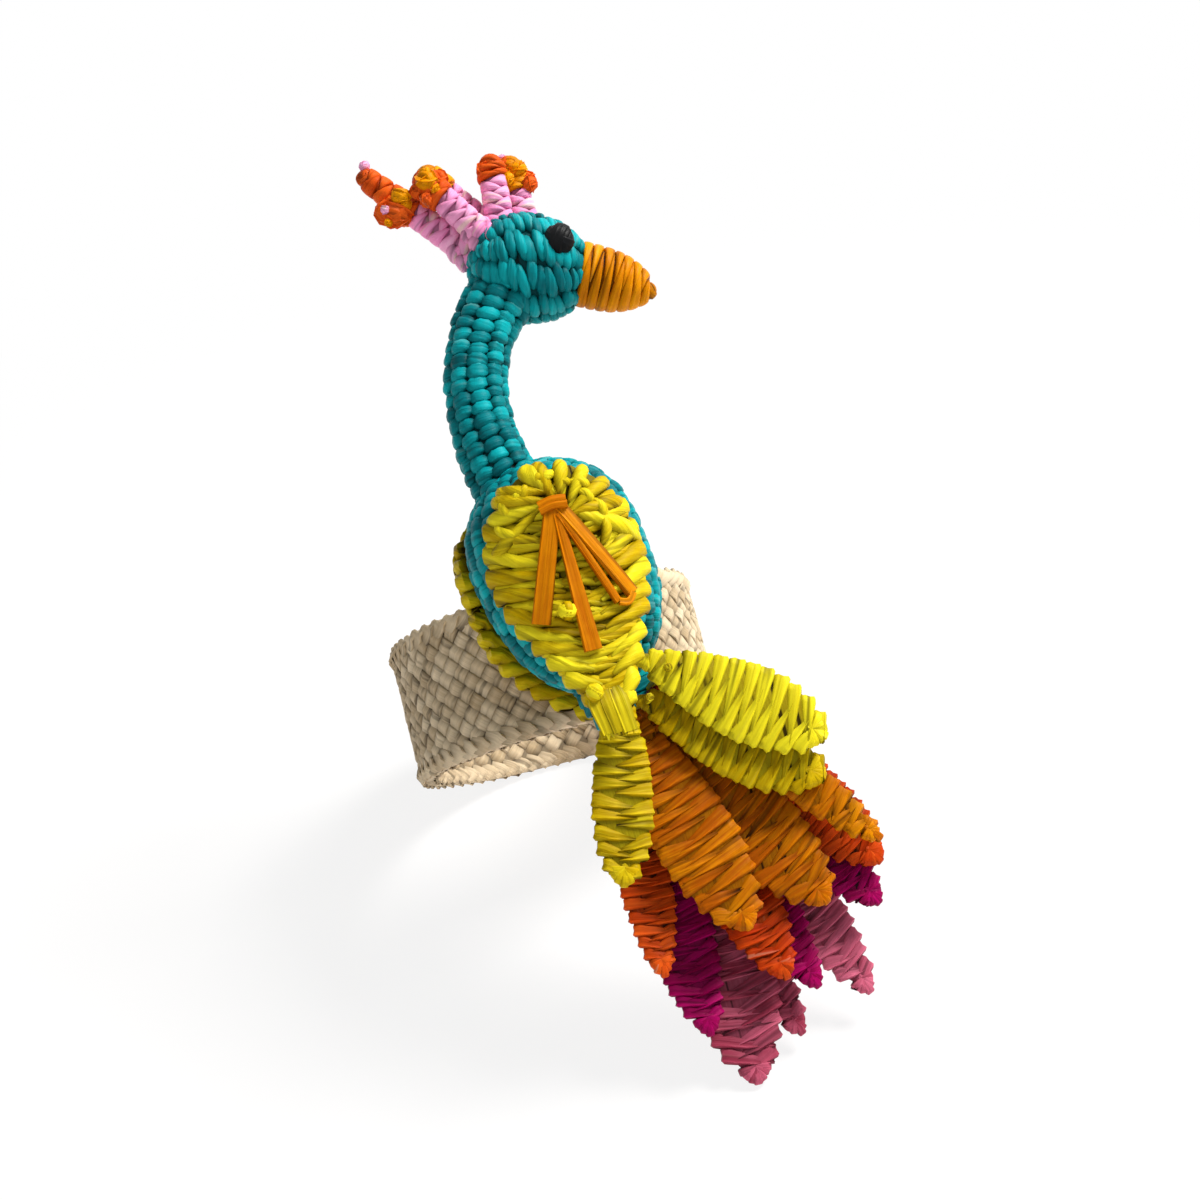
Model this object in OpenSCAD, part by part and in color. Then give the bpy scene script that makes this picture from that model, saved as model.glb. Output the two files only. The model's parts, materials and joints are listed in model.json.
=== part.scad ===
// Peacock napkin ring of dyed palm straw: a stuffed, straw-wrapped bird that is sewn to the
// front of a woven ring. It stands like an easel, on the ring's lower rim and its longest feather.
// Every piece is laid out in the bird's own frame and then leaned back by stand():
// X runs towards the beak's side, Y from the viewer back to the ring, Z up the bird.
// The bird's frame has its origin at the widest point of the body's axis.

/* [Ring] */
// Radius of the opening that the napkin goes through
ring_bore_r = 24; // [20:0.5:30]
// Thickness of the braided lining
lining_t = 1.4; // [0.8:0.1:2.5]
// Thickness of the checker-woven band round the lining
band_t = 1.6; // [1.2:0.1:2.5]
// Length of the ring along its axis
ring_w = 23; // [16:0.5:30]
// Height of each folded rim
rim_h = 2.4; // [1.5:0.1:4]
// How far the rims stand proud of the band
rim_proud = 0.3; // [0.1:0.1:1]
// Depth of the flat that the lower rim is pressed to where it stands
rim_flat = 0.8; // [0.3:0.1:1.2]
// Side step of the ring's axis from the body's middle
ring_side = 1; // [-4:0.5:6]
// Drop of the ring's middle below the body's middle
ring_drop = 12.5; // [6:0.1:16]
// Gap between the ring and the wing that it is sewn to
ring_gap = 0.15; // [0.1:0.05:0.5]
// Radius of each stitch that sews the ring to the body
ring_stitch_r = 0.7; // [0.4:0.05:1.2]

/* [Stance] */
// Angle that the bird leans back from upright
lean = 41.25; // [32:0.25:48]

/* [Body] */
// Radius of the body at its widest
body_r = 13.3; // [11:0.1:15]
// Length of the body above its widest point
body_up = 14; // [12:0.5:18]
// Length of the body below its widest point
body_down = 22.5; // [19:0.5:26]
// Lean of the body's axis to one side
body_tilt = 8; // [0:1:15]
// Thickness of the wrapped straw skin on body and head
skin_t = 1.8; // [1:0.1:3]
// Gap between a skin and the stuffing inside it
stuff_gap = 0.1; // [0.05:0.05:0.4]

/* [Neck and head] */
// Radius of the neck where it leaves the body
neck_foot_r = 5.6; // [4.5:0.1:7]
// Radius of the neck at its middle
neck_r = 4.8; // [3.5:0.1:6]
// Radius of the straw bundle inside the neck
neck_core_r = 1.6; // [0.8:0.1:2.5]
// Side step of the neck's foot from the body's middle
neck_side = 4.2; // [2:0.2:6]
// How far the neck bows out behind its foot
neck_bow = 3; // [0:0.2:6]
// Height of the head's middle above the body's middle
head_h = 45.8; // [40:0.5:54]
// Side step of the head's middle from the body's middle
head_side = 7.2; // [4:0.2:10]
// Radius of the head at its widest
head_r = 8.5; // [7.5:0.1:10]
// Length of the head in front of its widest point
head_front = 10.2; // [9:0.2:12]
// Length of the head behind its widest point
head_back = 9.2; // [8:0.2:12]
// Downward tilt of the head
head_nod = 17; // [0:1:30]
// Length of the beak outside the head
beak_len = 11.2; // [8:0.2:16]
// Radius of the beak at the head
beak_r = 4.7; // [3.5:0.1:6]
// Radius of the beak's blunt tip
beak_tip_r = 1.8; // [1.2:0.1:2.4]
// Downward tilt of the beak
beak_drop = 27; // [10:1:40]
// Thickness of the straw wrapped round the beak
beak_wrap_t = 1; // [0.6:0.1:1.6]
// Radius of each eye knot
eye_r = 2.2; // [1.4:0.1:2.8]

/* [Crest] */
// Radius of a crest stem at the head
stem_r = 1.9; // [1.2:0.1:2.3]
// Radius of a crest stem at its outer end
stem_end_r = 1.7; // [1:0.1:2.1]

/* [Wings] */
// Length of each wing
wing_len = 40.5; // [34:0.5:46]
// Half the width of each wing
wing_hw = 10.6; // [8:0.2:12]
// Thickness of each wing
wing_t = 2; // [1.2:0.1:3]
// Gap between the wings and the widest part of the body
wing_gap = 0.3; // [0.2:0.1:0.8]
// Height of the wings' upper end above the body's middle
wing_top = 9; // [6:0.5:12]
// Swing of the near wing's tip towards the tail
near_wing_swing = 1.5; // [0:0.5:5]
// Length of the far wing
far_wing_len = 37; // [32:0.5:38]
// Rise of the far wing's upper end above the near one's
far_wing_rise = 0; // [0:0.5:4]
// Turn of the far wing round the body, towards the crest's side
far_wing_turn = 41; // [0:1:46]
// Swing of the far wing's tip towards the tail
far_wing_swing = 22; // [0:1:24]
// Width of the flat straw straps on the near wing
strap_w = 2.3; // [1.5:0.1:3]
// Thickness of the straps
strap_t = 0.45; // [0.3:0.05:0.8]
// Radius of the knots that hold the near wing
knot_r = 1.1; // [0.7:0.1:1.6]
// Height of the knots that hold the near wing
knot_t = 0.9; // [0.5:0.1:1.5]

/* [Tail] */
// Thickness of each feather
feather_t = 1.7; // [1:0.1:2]
// Gap between one layer of feathers and the next
layer_gap = 0.3; // [0.3:0.05:0.6]
// Radius of the round eye at each feather's root
tab_r = 1.8; // [1.4:0.1:2]
// Radius of the straw stitches that the feathers hang on
pin_r = 0.6; // [0.4:0.05:0.8]
// Running gap between a stitch and the loose feathers on it
pin_run = 0.05; // [0.02:0.01:0.1]
// Radius of the knots on the ends of the stitches
pin_knot_r = 1.3; // [1:0.1:1.6]
// Thickness of the knots on the ends of the stitches
pin_knot_t = 0.7; // [0.5:0.1:1]
// Room between the front knots and the wing over them
knot_room = 1.55; // [0.5:0.05:2.5]
// Thickness of the tongue that carries the stitches
tongue_t = 3.5; // [2:0.1:5]

/* [Hidden] */
$fn = 48;

// Straw colours
teal = [0.02, 0.52, 0.55];
lime = [0.82, 0.76, 0.05];
amber = [0.87, 0.55, 0.05];
orange = [0.87, 0.36, 0.12];
magenta = [0.58, 0.05, 0.42];
rose = [0.74, 0.42, 0.54];
pink = [0.87, 0.50, 0.77];
cream = [0.88, 0.80, 0.70];
black = [0.05, 0.05, 0.06];
stuffing = [0.80, 0.72, 0.50];

// Fullness of the egg shapes: 2 is an ellipse, more is blunter
body_full_up = 2.2;
body_full_down = 2.6;
head_full = 2.2;
// Fullness of the beak's sides: 1 is a cone, more is blunter
beak_full = 3.2;
// How far along the front of the head the beak starts
beak_start = 0.88;
// Spare length of a shape that cuts right through another
cut_spare = 1;
// Corners along each half of an egg's outline
egg_steps = 8;

// Ring places
ring_mid_r = ring_bore_r + lining_t;
band_r = ring_mid_r + band_t;
rim_r = band_r + rim_proud;
wing_in = body_r + wing_gap;
wing_out = wing_in + wing_t;
ring_y = wing_out + ring_gap + rim_r;
ring_at = [ring_side, ring_y, -ring_drop];
// Stitches pass straight back from the body into the band, this far into it
stitch_bite = 0.7 * band_t;
stitch_spread = 4;
stitch_rise = 0.24 * ring_w;
stitch_places = [
  for (x = [-1, 1], z = [-1, 1])
    [ring_side + x * stitch_spread, -ring_drop + z * stitch_rise]
];
stitch_end_y = ring_y - sqrt(band_r * band_r - stitch_spread * stitch_spread) + stitch_bite;

// Tail places, from the body's lower end
tail_end = [body_down * sin(body_tilt), -body_down * cos(body_tilt)];
tail_pins = [tail_end + [-1.6, -3.2], tail_end + [2.4, -4.2], tail_end + [6.1, -0.7]];
layer_pitch = feather_t + layer_gap;
layer_front = -(wing_in - knot_room - pin_knot_t - layer_gap - feather_t / 2);
layer_count = 8;
tongue_front = layer_front + (layer_count - 1) * layer_pitch + feather_t / 2 + layer_gap;
tongue_back = tongue_front + tongue_t;
// Width of the tongue outside the knots on it
tongue_edge = 1.2;

function feather_layer_y(layer) = layer_front + layer * layer_pitch;

// Stance: the floor lies just above the lowest point of the lower rim
function floor_of(y, z) = z * cos(lean) - y * sin(lean);
function depth_of(y, z) = y * cos(lean) + z * sin(lean);
floor_z = floor_of(ring_y + rim_r, -ring_drop - ring_w / 2) + rim_flat;
stand_pin = 2;
stand_angle = -0.8;
stand_layer = 6;
stand_back_y = feather_layer_y(stand_layer) + feather_t / 2;
stand_tip_z = (floor_z + stand_back_y * sin(lean)) / cos(lean);
stand_len = (tail_pins[stand_pin][1] - stand_tip_z) / cos(stand_angle);

// Feathers: stitch, layer from the front, angle from straight down, length below the stitch,
// half width, and how far the root runs on above the stitch
// The first pink feather is the one that stands: its length is worked out from the floor.
cover = [[0, 0, -14, 26.3, 4.2, 3], [2, 0, 53, 25, 5.6, 5], [1, 1, 52.5, 28, 5.5, 2]];
ambers = [[0, 2, 15.6, 37, 5.8, 0], [1, 3, 28.5, 38.8, 6, 0], [2, 2, 38.2, 39.5, 3.2, 0]];
oranges = [[0, 4, -4.4, 39, 3.7, 0], [1, 4, 13.5, 44, 5.2, 0], [2, 4, 36.2, 42.2, 5.8, 0]];
magentas = [[0, 5, 2, 48.5, 5, 0], [1, 5, 18, 47.6, 4.6, 0], [2, 5, 30.5, 46.2, 5.4, 0]];
pinks = [
  [stand_pin, stand_layer, stand_angle, stand_len, 7.4, 0],
  [0, 7, 16.4, 54.5, 4.8, 0],
  [2, 7, 20.5, 55.4, 5, 0]
];
feathers = concat(cover, ambers, oranges, magentas, pinks);
feather_skew = 1.4;
feather_full = [0.5, 0.5];
feather_steps = 12;

// Box of the standing figure, seen from above
function feather_side(f, t) =
  tail_pins[f[0]][0] + (t * (f[3] + f[5]) - f[5]) * sin(f[2])
  + leaf_half(t, f[4], feather_skew, feather_full) * cos(f[2]);
widest_tip = max([for (f = feathers, i = [0 : feather_steps]) feather_side(f, i / feather_steps)]);
box_x = [ring_side - rim_r, max(widest_tip, ring_side + rim_r)];
box_front = depth_of(stand_back_y - feather_t, stand_tip_z);
box_back = depth_of(ring_y + rim_r, -ring_drop + ring_w / 2);
stand_shift = [-(box_x[0] + box_x[1]) / 2, -(box_front + box_back) / 2, -floor_z];

// Head places
head_at = [head_side, 0, head_h];
head_way = [cos(head_nod), 0, -sin(head_nod)];
beak_at = head_at + head_way * beak_start * head_front;
eye_fwd = 4.4;
eye_up = 1.6;
eye_out = sqrt(pow(egg_r(eye_fwd, head_r, head_front, head_full), 2) - eye_up * eye_up);

// Neck route: a curve from inside the body to inside the head, with a pull at each end
neck_foot_share = 0.64;
neck_top_step = [-3.2, -2.3];
neck_foot = [-neck_side, neck_foot_share * body_up];
neck_top = [head_side, head_h] + neck_top_step;
neck_low_pull = [-neck_bow - 0.3, 13];
neck_high_pull = [-neck_bow - 8, -9];
neck_route = [neck_foot, neck_foot + neck_low_pull, neck_top + neck_high_pull, neck_top];
neck_rings = 14;
neck_sides = 16;

// Crest stems, each from the head's middle: depth, foot, end, length and radius of the tip
crest = [
  [0.8, [-6, 2.5], [-14.9, 13.3], 9, 1.5],
  [-2.6, [-4, 3], [-10.4, 13.1], 3.1, 2],
  [2, [-1, 5.5], [-8.6, 16.1], 3.3, 2.1],
  [-1.6, [-2.6, 5.5], [-1.6, 15.3], 1.6, 1.9],
  [1.2, [2.2, 5.5], [2.1, 13.9], 3.2, 2.3]
];
// How far the tips' wrapping stands out from the stems, and the step of their rounding
tip_lap = 0.3;
tip_step = 15;

// Straps on the near wing: upper end, lower end, width as a share of a full strap
strap_top = [-2.3, 3.4];
straps = [
  [strap_top, [-7.4, -13.5], 1],
  [strap_top, [-0.6, -18.8], 0.9],
  [strap_top + [0.6, -0.4], [5.2, -12.2], 0.8],
  [strap_top + [0.4, -0.6], [3.2, -12.8], 0.6]
];
strap_wrap = [3.6, 1.7];
knot_places = [[-3.9, -12.6], [-2.4, -24.6]];
wing_axis_x = -1.2;
wing_skew = 0.64;
wing_full = [0.65, 1.15];
wing_steps = 12;

// Radius of an egg at a distance along its axis
function egg_r(a, r, reach, full) = r * sqrt(max(0, 1 - pow(abs(a) / reach, full)));

// Outline of an egg, from its lower pole to its upper one
function egg_corner(i, r, reach, full) =
  let (a = reach * sin(90 * i / egg_steps))
  [egg_r(a, r, reach, full), a];

function egg_outline(r, up, down, full_up, full_down) = concat(
  [for (i = [-egg_steps : -1]) egg_corner(i, r, down, full_down)],
  [for (i = [0 : egg_steps]) egg_corner(i, r, up, full_up)]
);

// Half width of a leaf at a share of its length, with its fullness towards the root and the tip
function leaf_half(t, hw, skew, full) =
  let (turn = 180 * pow(t, skew))
  hw * pow(max(0, sin(turn)), full[turn < 90 ? 0 : 1]);

// Outline of a leaf that hangs down from its root
function leaf_outline(len, hw, skew, full, steps) = concat(
  [for (i = [0 : steps - 1]) [leaf_half(i / steps, hw, skew, full), -len * i / steps]],
  [[0, -len]],
  [for (i = [steps - 1 : -1 : 1]) [-leaf_half(i / steps, hw, skew, full), -len * i / steps]]
);

// Point and direction on the neck's curve
function bend(p, t) =
  let (u = 1 - t)
  u * u * u * p[0] + 3 * t * u * u * p[1] + 3 * t * t * u * p[2] + t * t * t * p[3];

function bend_way(p, t) =
  let (u = 1 - t)
  3 * u * u * (p[1] - p[0]) + 6 * t * u * (p[2] - p[1]) + 3 * t * t * (p[3] - p[2]);

// Leans the figure back, and sets it on the floor over the middle of its box
module stand() {
  translate(stand_shift) rotate([-lean, 0, 0]) children();
}

// Extrudes a side view of the bird through its depth
module plate(mid_y, thick) {
  translate([0, mid_y + thick / 2, 0]) rotate([90, 0, 0]) linear_extrude(thick) children();
}

// Round bar that runs straight back
module bar_back(at, r, from_y, to_y) {
  translate([at[0], to_y, at[1]]) rotate([90, 0, 0]) cylinder(h = to_y - from_y, r = r);
}

// Lays what is drawn along Z along another direction instead
module along(p, way) {
  translate(p) rotate([0, acos(way[2]), atan2(way[1], way[0])]) children();
}

module egg(r, up, down, full_up, full_down) {
  rotate_extrude() polygon(egg_outline(r, up, down, full_up, full_down));
}

module body_egg(inset) {
  rotate([0, -body_tilt, 0])
    egg(body_r - inset, body_up - inset, body_down - inset, body_full_up, body_full_down);
}

module head_egg(inset) {
  translate(head_at) rotate([0, 90 + head_nod, 0])
    egg(head_r - inset, head_front - inset, head_back - inset, head_full, head_full);
}

// Tube along the neck's curve, with a radius at its foot, middle and top
module neck_sweep(r_foot, r_mid) {
  function ring_r(t) = r_mid + (r_foot - r_mid) * pow(2 * t - 1, 2);
  pts = [
    for (i = [0 : neck_rings - 1], k = [0 : neck_sides - 1])
      let (
        t = i / (neck_rings - 1),
        c = bend(neck_route, t),
        w = bend_way(neck_route, t) / norm(bend_way(neck_route, t)),
        a = 360 * k / neck_sides,
        r = ring_r(t)
      )
      [c[0] + r * cos(a) * w[1], r * sin(a), c[1] - r * cos(a) * w[0]]
  ];
  sides = [
    for (i = [0 : neck_rings - 2], k = [0 : neck_sides - 1])
      let (
        a = i * neck_sides + k,
        b = i * neck_sides + (k + 1) % neck_sides
      )
      each [[a, a + neck_sides, b], [b, a + neck_sides, b + neck_sides]]
  ];
  foot = [for (k = [0 : neck_sides - 1]) k];
  top = [for (k = [neck_sides - 1 : -1 : 0]) (neck_rings - 1) * neck_sides + k];
  polyhedron(points = pts, faces = concat(sides, [foot], [top]));
}

module beak_body(inset) {
  steps = 6;
  r = beak_r - inset;
  len = beak_len - inset;
  tip = max(beak_tip_r - inset, 0.3);
  sunk = 0.3 * head_front;
  outline = [for (i = [0 : steps]) [tip + (r - tip) * (1 - pow(i / steps, beak_full)), len * i / steps]];
  translate(beak_at) rotate([0, 90 + beak_drop, 0])
    rotate_extrude() polygon(concat([[0, -sunk], [r, -sunk]], outline, [[0, len]]));
}

module eye(side) {
  difference() {
    translate(head_at) rotate([0, head_nod, 0])
      translate([eye_fwd, side * eye_out, eye_up]) sphere(r = eye_r);
    head_egg(0);
  }
}

function crest_point(i, which) = head_at + [crest[i][which][0], crest[i][0], crest[i][which][1]];
function crest_way(i) = (crest_point(i, 2) - crest_point(i, 1)) / norm(crest[i][2] - crest[i][1]);

module crest_stem(i) {
  color(pink) stand() difference() {
    along(crest_point(i, 1), crest_way(i))
      cylinder(h = norm(crest[i][2] - crest[i][1]), r1 = stem_r, r2 = stem_end_r);
    head_egg(0);
  }
}

module crest_tip(i, shade) {
  len = crest[i][3];
  tip_r = crest[i][4];
  round_end = [for (a = [0 : tip_step : 90 - tip_step]) [tip_r * cos(a), len + tip_r * sin(a)]];
  color(shade) stand() along(crest_point(i, 2), crest_way(i))
    rotate_extrude() polygon(concat([[0, 0], [stem_end_r + tip_lap, 0]], round_end, [[0, len + tip_r]]));
}

// Ring of straw about the ring's axis
module hoop(r_in, r_out, z_from, z_to) {
  translate(ring_at + [0, 0, z_from]) difference() {
    cylinder(h = z_to - z_from, r = r_out);
    translate([0, 0, -cut_spare]) cylinder(h = z_to - z_from + 2 * cut_spare, r = r_in);
  }
}

module stitch_bars() {
  for (at = stitch_places) bar_back(at, ring_stitch_r, 0, stitch_end_y);
}

// Shell that a wing is cut from, with its axis through the body's middle
module wing_shell(r_in, r_out) {
  tall = wing_len + far_wing_rise + 2 * cut_spare;
  translate([0, 0, wing_top - wing_len - cut_spare]) difference() {
    cylinder(h = tall, r = r_out);
    translate([0, 0, -cut_spare]) cylinder(h = tall + 2 * cut_spare, r = r_in);
  }
}

// Wing bent round the front of the body
module wing(len, top, swing) {
  reach = wing_out + cut_spare;
  intersection() {
    plate(-reach / 2, reach) translate([wing_axis_x, top]) rotate(swing)
      polygon(leaf_outline(len, wing_hw, wing_skew, wing_full, wing_steps));
    wing_shell(wing_in, wing_out);
  }
}

module strap_outline(s) {
  d = s[1] - s[0];
  w = strap_w * s[2];
  translate(s[0]) rotate(atan2(d[1], d[0])) translate([0, -w / 2]) square([norm(d), w]);
}

module feather(f, hole_r) {
  pin = tail_pins[f[0]];
  y = feather_layer_y(f[1]);
  difference() {
    union() {
      bar_back(pin, tab_r, y - feather_t / 2, y + feather_t / 2);
      plate(y, feather_t) translate(pin) rotate(f[2]) translate([0, f[5]])
        polygon(leaf_outline(f[3] + f[5], f[4], feather_skew, feather_full, feather_steps));
    }
    bar_back(pin, hole_r, y - feather_t, y + feather_t);
  }
}

module loose_feather(f, shade) {
  color(shade) stand() feather(f, pin_r + pin_run);
}

module sewn_feather(f, shade) {
  color(shade) stand() feather(f, pin_r);
}

// Straw stitch through a pile of feather roots, knotted at the front and behind the tongue
module tail_stitch(i) {
  front = feather_layer_y(0) - feather_t / 2 - layer_gap;
  color(lime) stand() {
    bar_back(tail_pins[i], pin_r, front - pin_knot_t / 2, tongue_back + pin_knot_t / 2);
    bar_back(tail_pins[i], pin_knot_r, front - pin_knot_t, front);
    bar_back(tail_pins[i], pin_knot_r, tongue_back, tongue_back + pin_knot_t);
  }
}

module ring_band() {
  color(cream) stand() difference() {
    hoop(ring_mid_r, band_r, rim_h - ring_w / 2, ring_w / 2 - rim_h);
    stitch_bars();
  }
}

module ring_lining() {
  color(cream) stand() hoop(ring_bore_r, ring_mid_r, -ring_w / 2, ring_w / 2);
}

module ring_upper_rim() {
  color(cream) stand() hoop(ring_mid_r, rim_r, ring_w / 2 - rim_h, ring_w / 2);
}

module ring_lower_rim() {
  floor_side = 4 * rim_r;
  color(cream) difference() {
    stand() hoop(ring_mid_r, rim_r, -ring_w / 2, rim_h - ring_w / 2);
    translate([-floor_side / 2, -floor_side / 2, -floor_side]) cube(floor_side);
  }
}

module ring_stitches() {
  color(teal) stand() difference() {
    stitch_bars();
    body_egg(0);
  }
}

module body_skin() {
  color(teal) stand() difference() {
    body_egg(0);
    body_egg(skin_t);
  }
}

module body_core() {
  color(stuffing) stand() body_egg(skin_t + stuff_gap);
}

module neck_skin() {
  color(teal) stand() difference() {
    neck_sweep(neck_foot_r, neck_r);
    neck_sweep(neck_core_r + stuff_gap, neck_core_r + stuff_gap);
    body_egg(0);
    head_egg(0);
  }
}

module neck_core() {
  color(stuffing) stand() difference() {
    neck_sweep(neck_core_r, neck_core_r);
    body_egg(0);
    head_egg(0);
  }
}

module head_skin() {
  color(teal) stand() difference() {
    head_egg(0);
    head_egg(skin_t);
  }
}

module head_core() {
  color(stuffing) stand() head_egg(skin_t + stuff_gap);
}

module beak_wrap() {
  color(amber) stand() difference() {
    beak_body(0);
    beak_body(beak_wrap_t);
    head_egg(0);
  }
}

module beak_core() {
  color(stuffing) stand() difference() {
    beak_body(beak_wrap_t + stuff_gap);
    head_egg(0);
  }
}

module near_eye() {
  color(black) stand() eye(-1);
}

module far_eye() {
  color(black) stand() eye(1);
}

module near_wing() {
  color(lime) stand() wing(wing_len, wing_top, near_wing_swing);
}

module far_wing() {
  color(lime) stand() difference() {
    rotate([0, 0, far_wing_turn]) mirror([0, 1, 0])
      wing(far_wing_len, wing_top + far_wing_rise, far_wing_swing);
    stitch_bars();
  }
}

module near_wing_straps() {
  reach = wing_out + strap_t + cut_spare;
  color(amber) stand() intersection() {
    plate(-reach / 2, reach) {
      for (s = straps) strap_outline(s);
      translate(strap_top - strap_wrap / 2) square(strap_wrap);
    }
    wing_shell(wing_out, wing_out + strap_t);
  }
}

module near_wing_knots() {
  reach = wing_out + knot_t + cut_spare;
  color(lime) stand() intersection() {
    for (k = knot_places) bar_back(k, knot_r, -reach, 0);
    wing_shell(wing_out, wing_out + knot_t);
  }
}

module tail_tongue() {
  color(teal) stand() difference() {
    plate((tongue_front + tongue_back) / 2, tongue_t) hull() {
      for (p = tail_pins) translate(p) circle(r = pin_knot_r + tongue_edge);
      translate([tail_end[0], tail_end[1] / 2]) circle(r = body_r / 2);
    }
    body_egg(0);
    stitch_bars();
    for (p = tail_pins) bar_back(p, pin_r, tongue_front - cut_spare, tongue_back + cut_spare);
  }
}

ring_band();
ring_lining();
ring_upper_rim();
ring_lower_rim();
ring_stitches();
body_skin();
body_core();
neck_skin();
neck_core();
head_skin();
head_core();
beak_wrap();
beak_core();
near_eye();
far_eye();
crest_stem(0);  // crest_stem_1
crest_stem(1);  // crest_stem_2
crest_stem(2);  // crest_stem_3
crest_stem(3);  // crest_stem_4
crest_stem(4);  // crest_stem_5
crest_tip(0, orange);  // crest_tip_1
crest_tip(1, orange);  // crest_tip_2
crest_tip(2, amber);  // crest_tip_3
crest_tip(3, orange);  // crest_tip_4
crest_tip(4, amber);  // crest_tip_5
near_wing();
far_wing();
near_wing_straps();
near_wing_knots();
tail_tongue();
tail_stitch(0);  // tail_stitch_left
tail_stitch(1);  // tail_stitch_mid
tail_stitch(2);  // tail_stitch_right
loose_feather(cover[0], lime);  // cover_feather_1
loose_feather(cover[1], lime);  // cover_feather_2
loose_feather(cover[2], lime);  // cover_feather_3
sewn_feather(ambers[0], amber);  // amber_feather_1
sewn_feather(ambers[1], amber);  // amber_feather_2
sewn_feather(ambers[2], amber);  // amber_feather_3
sewn_feather(oranges[0], orange);  // orange_feather_1
sewn_feather(oranges[1], orange);  // orange_feather_2
sewn_feather(oranges[2], orange);  // orange_feather_3
sewn_feather(magentas[0], magenta);  // magenta_feather_1
sewn_feather(magentas[1], magenta);  // magenta_feather_2
sewn_feather(magentas[2], magenta);  // magenta_feather_3
sewn_feather(pinks[0], rose);  // pink_feather_1
sewn_feather(pinks[1], rose);  // pink_feather_2
sewn_feather(pinks[2], rose);  // pink_feather_3
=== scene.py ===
"""Looks of the straw peacock napkin ring: wound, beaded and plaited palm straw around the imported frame.

Every piece is laid out in the bird's own frame, in millimetres: X towards the beak's side, Y from the viewer
back to the ring, Z up the bird, with the origin at the widest point of the body. Stance leans it back.
"""

import json
import logging
import math
from dataclasses import dataclass, field
from enum import Enum
from typing import Sequence

import bpy
import numpy as np
from mathutils import Matrix, Vector


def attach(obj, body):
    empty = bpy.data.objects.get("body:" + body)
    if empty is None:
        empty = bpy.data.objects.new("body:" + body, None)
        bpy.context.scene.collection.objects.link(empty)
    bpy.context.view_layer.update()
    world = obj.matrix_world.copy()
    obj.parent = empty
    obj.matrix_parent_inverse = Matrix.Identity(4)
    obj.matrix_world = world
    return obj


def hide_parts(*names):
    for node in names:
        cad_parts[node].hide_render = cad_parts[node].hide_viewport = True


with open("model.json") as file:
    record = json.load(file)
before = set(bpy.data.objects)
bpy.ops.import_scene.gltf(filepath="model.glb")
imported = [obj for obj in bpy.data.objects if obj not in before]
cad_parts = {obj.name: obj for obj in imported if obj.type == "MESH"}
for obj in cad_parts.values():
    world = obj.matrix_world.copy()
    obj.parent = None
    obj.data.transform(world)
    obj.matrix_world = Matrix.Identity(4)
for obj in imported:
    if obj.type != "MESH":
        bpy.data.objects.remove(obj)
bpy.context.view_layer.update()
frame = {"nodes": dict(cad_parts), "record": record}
LOG = logging.getLogger("peacock")

MM = 0.001
ROOT_BODY = "bird"
RING_CENTRE = np.array([1.0, 43.05, -12.5])
RING_BORE_R = 24.0
RING_BAND_R = 27.0
RING_WIDTH = 23.0
HEAD_CENTRE = (7.2, 0.0, 45.8)
BODY_DOWN = 22.5
BODY_TILT = math.radians(8)
SHADE_ANGLE = math.radians(62)

Array = np.ndarray


def unit(vectors: Array) -> Array:
    """Returns vectors scaled to length one."""
    return vectors / np.maximum(np.linalg.norm(vectors, axis=-1, keepdims=True), 1e-9)


def linear(colour: Sequence[float]) -> tuple[float, float, float, float]:
    """Turns a display colour of 0 to 255 into the linear colour that a shader takes.

    Args:
        colour: Red, green and blue, each from 0 to 255.

    Returns:
        The linear colour with an alpha of one.
    """
    parts = [c / 255 for c in colour]
    red, green, blue = [p / 12.92 if p < 0.04045 else ((p + 0.055) / 1.055) ** 2.4 for p in parts]
    return red, green, blue, 1.0


@dataclass(frozen=True)
class Stance:
    """Where the leaned bird stands: its lean, and its own origin in the standing frame, in millimetres."""

    lean: float
    origin: Array

    @classmethod
    def from_record(cls, record: dict) -> "Stance":
        """Reads the lean from a stitch's axis and the place from the ring's bore.

        Args:
            record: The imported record.

        Returns:
            The stance that carries the bird's frame onto the CAD model.
        """
        axis = record["behaviour"]["joints"][0]["axis"]
        lean = math.atan2(-axis[2], axis[1])
        bore = np.array(record["mounts"][0]["pos_m"]) / MM
        turned = cls(lean, np.zeros(3)).rest(RING_CENTRE[None, :])[0]
        return cls(lean, bore - turned)

    def rest(self, points: Array) -> Array:
        """Returns points of the bird's frame as points of the standing frame."""
        x, y, z = points.T
        cos, sin = math.cos(self.lean), math.sin(self.lean)
        return np.stack([x, y * cos + z * sin, z * cos - y * sin], axis=1) + self.origin

    def floor_height(self, depth: float) -> float:
        """Returns the bird's own height at which a given depth meets the floor."""
        return (depth * math.sin(self.lean) - self.origin[2]) / math.cos(self.lean)


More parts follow.
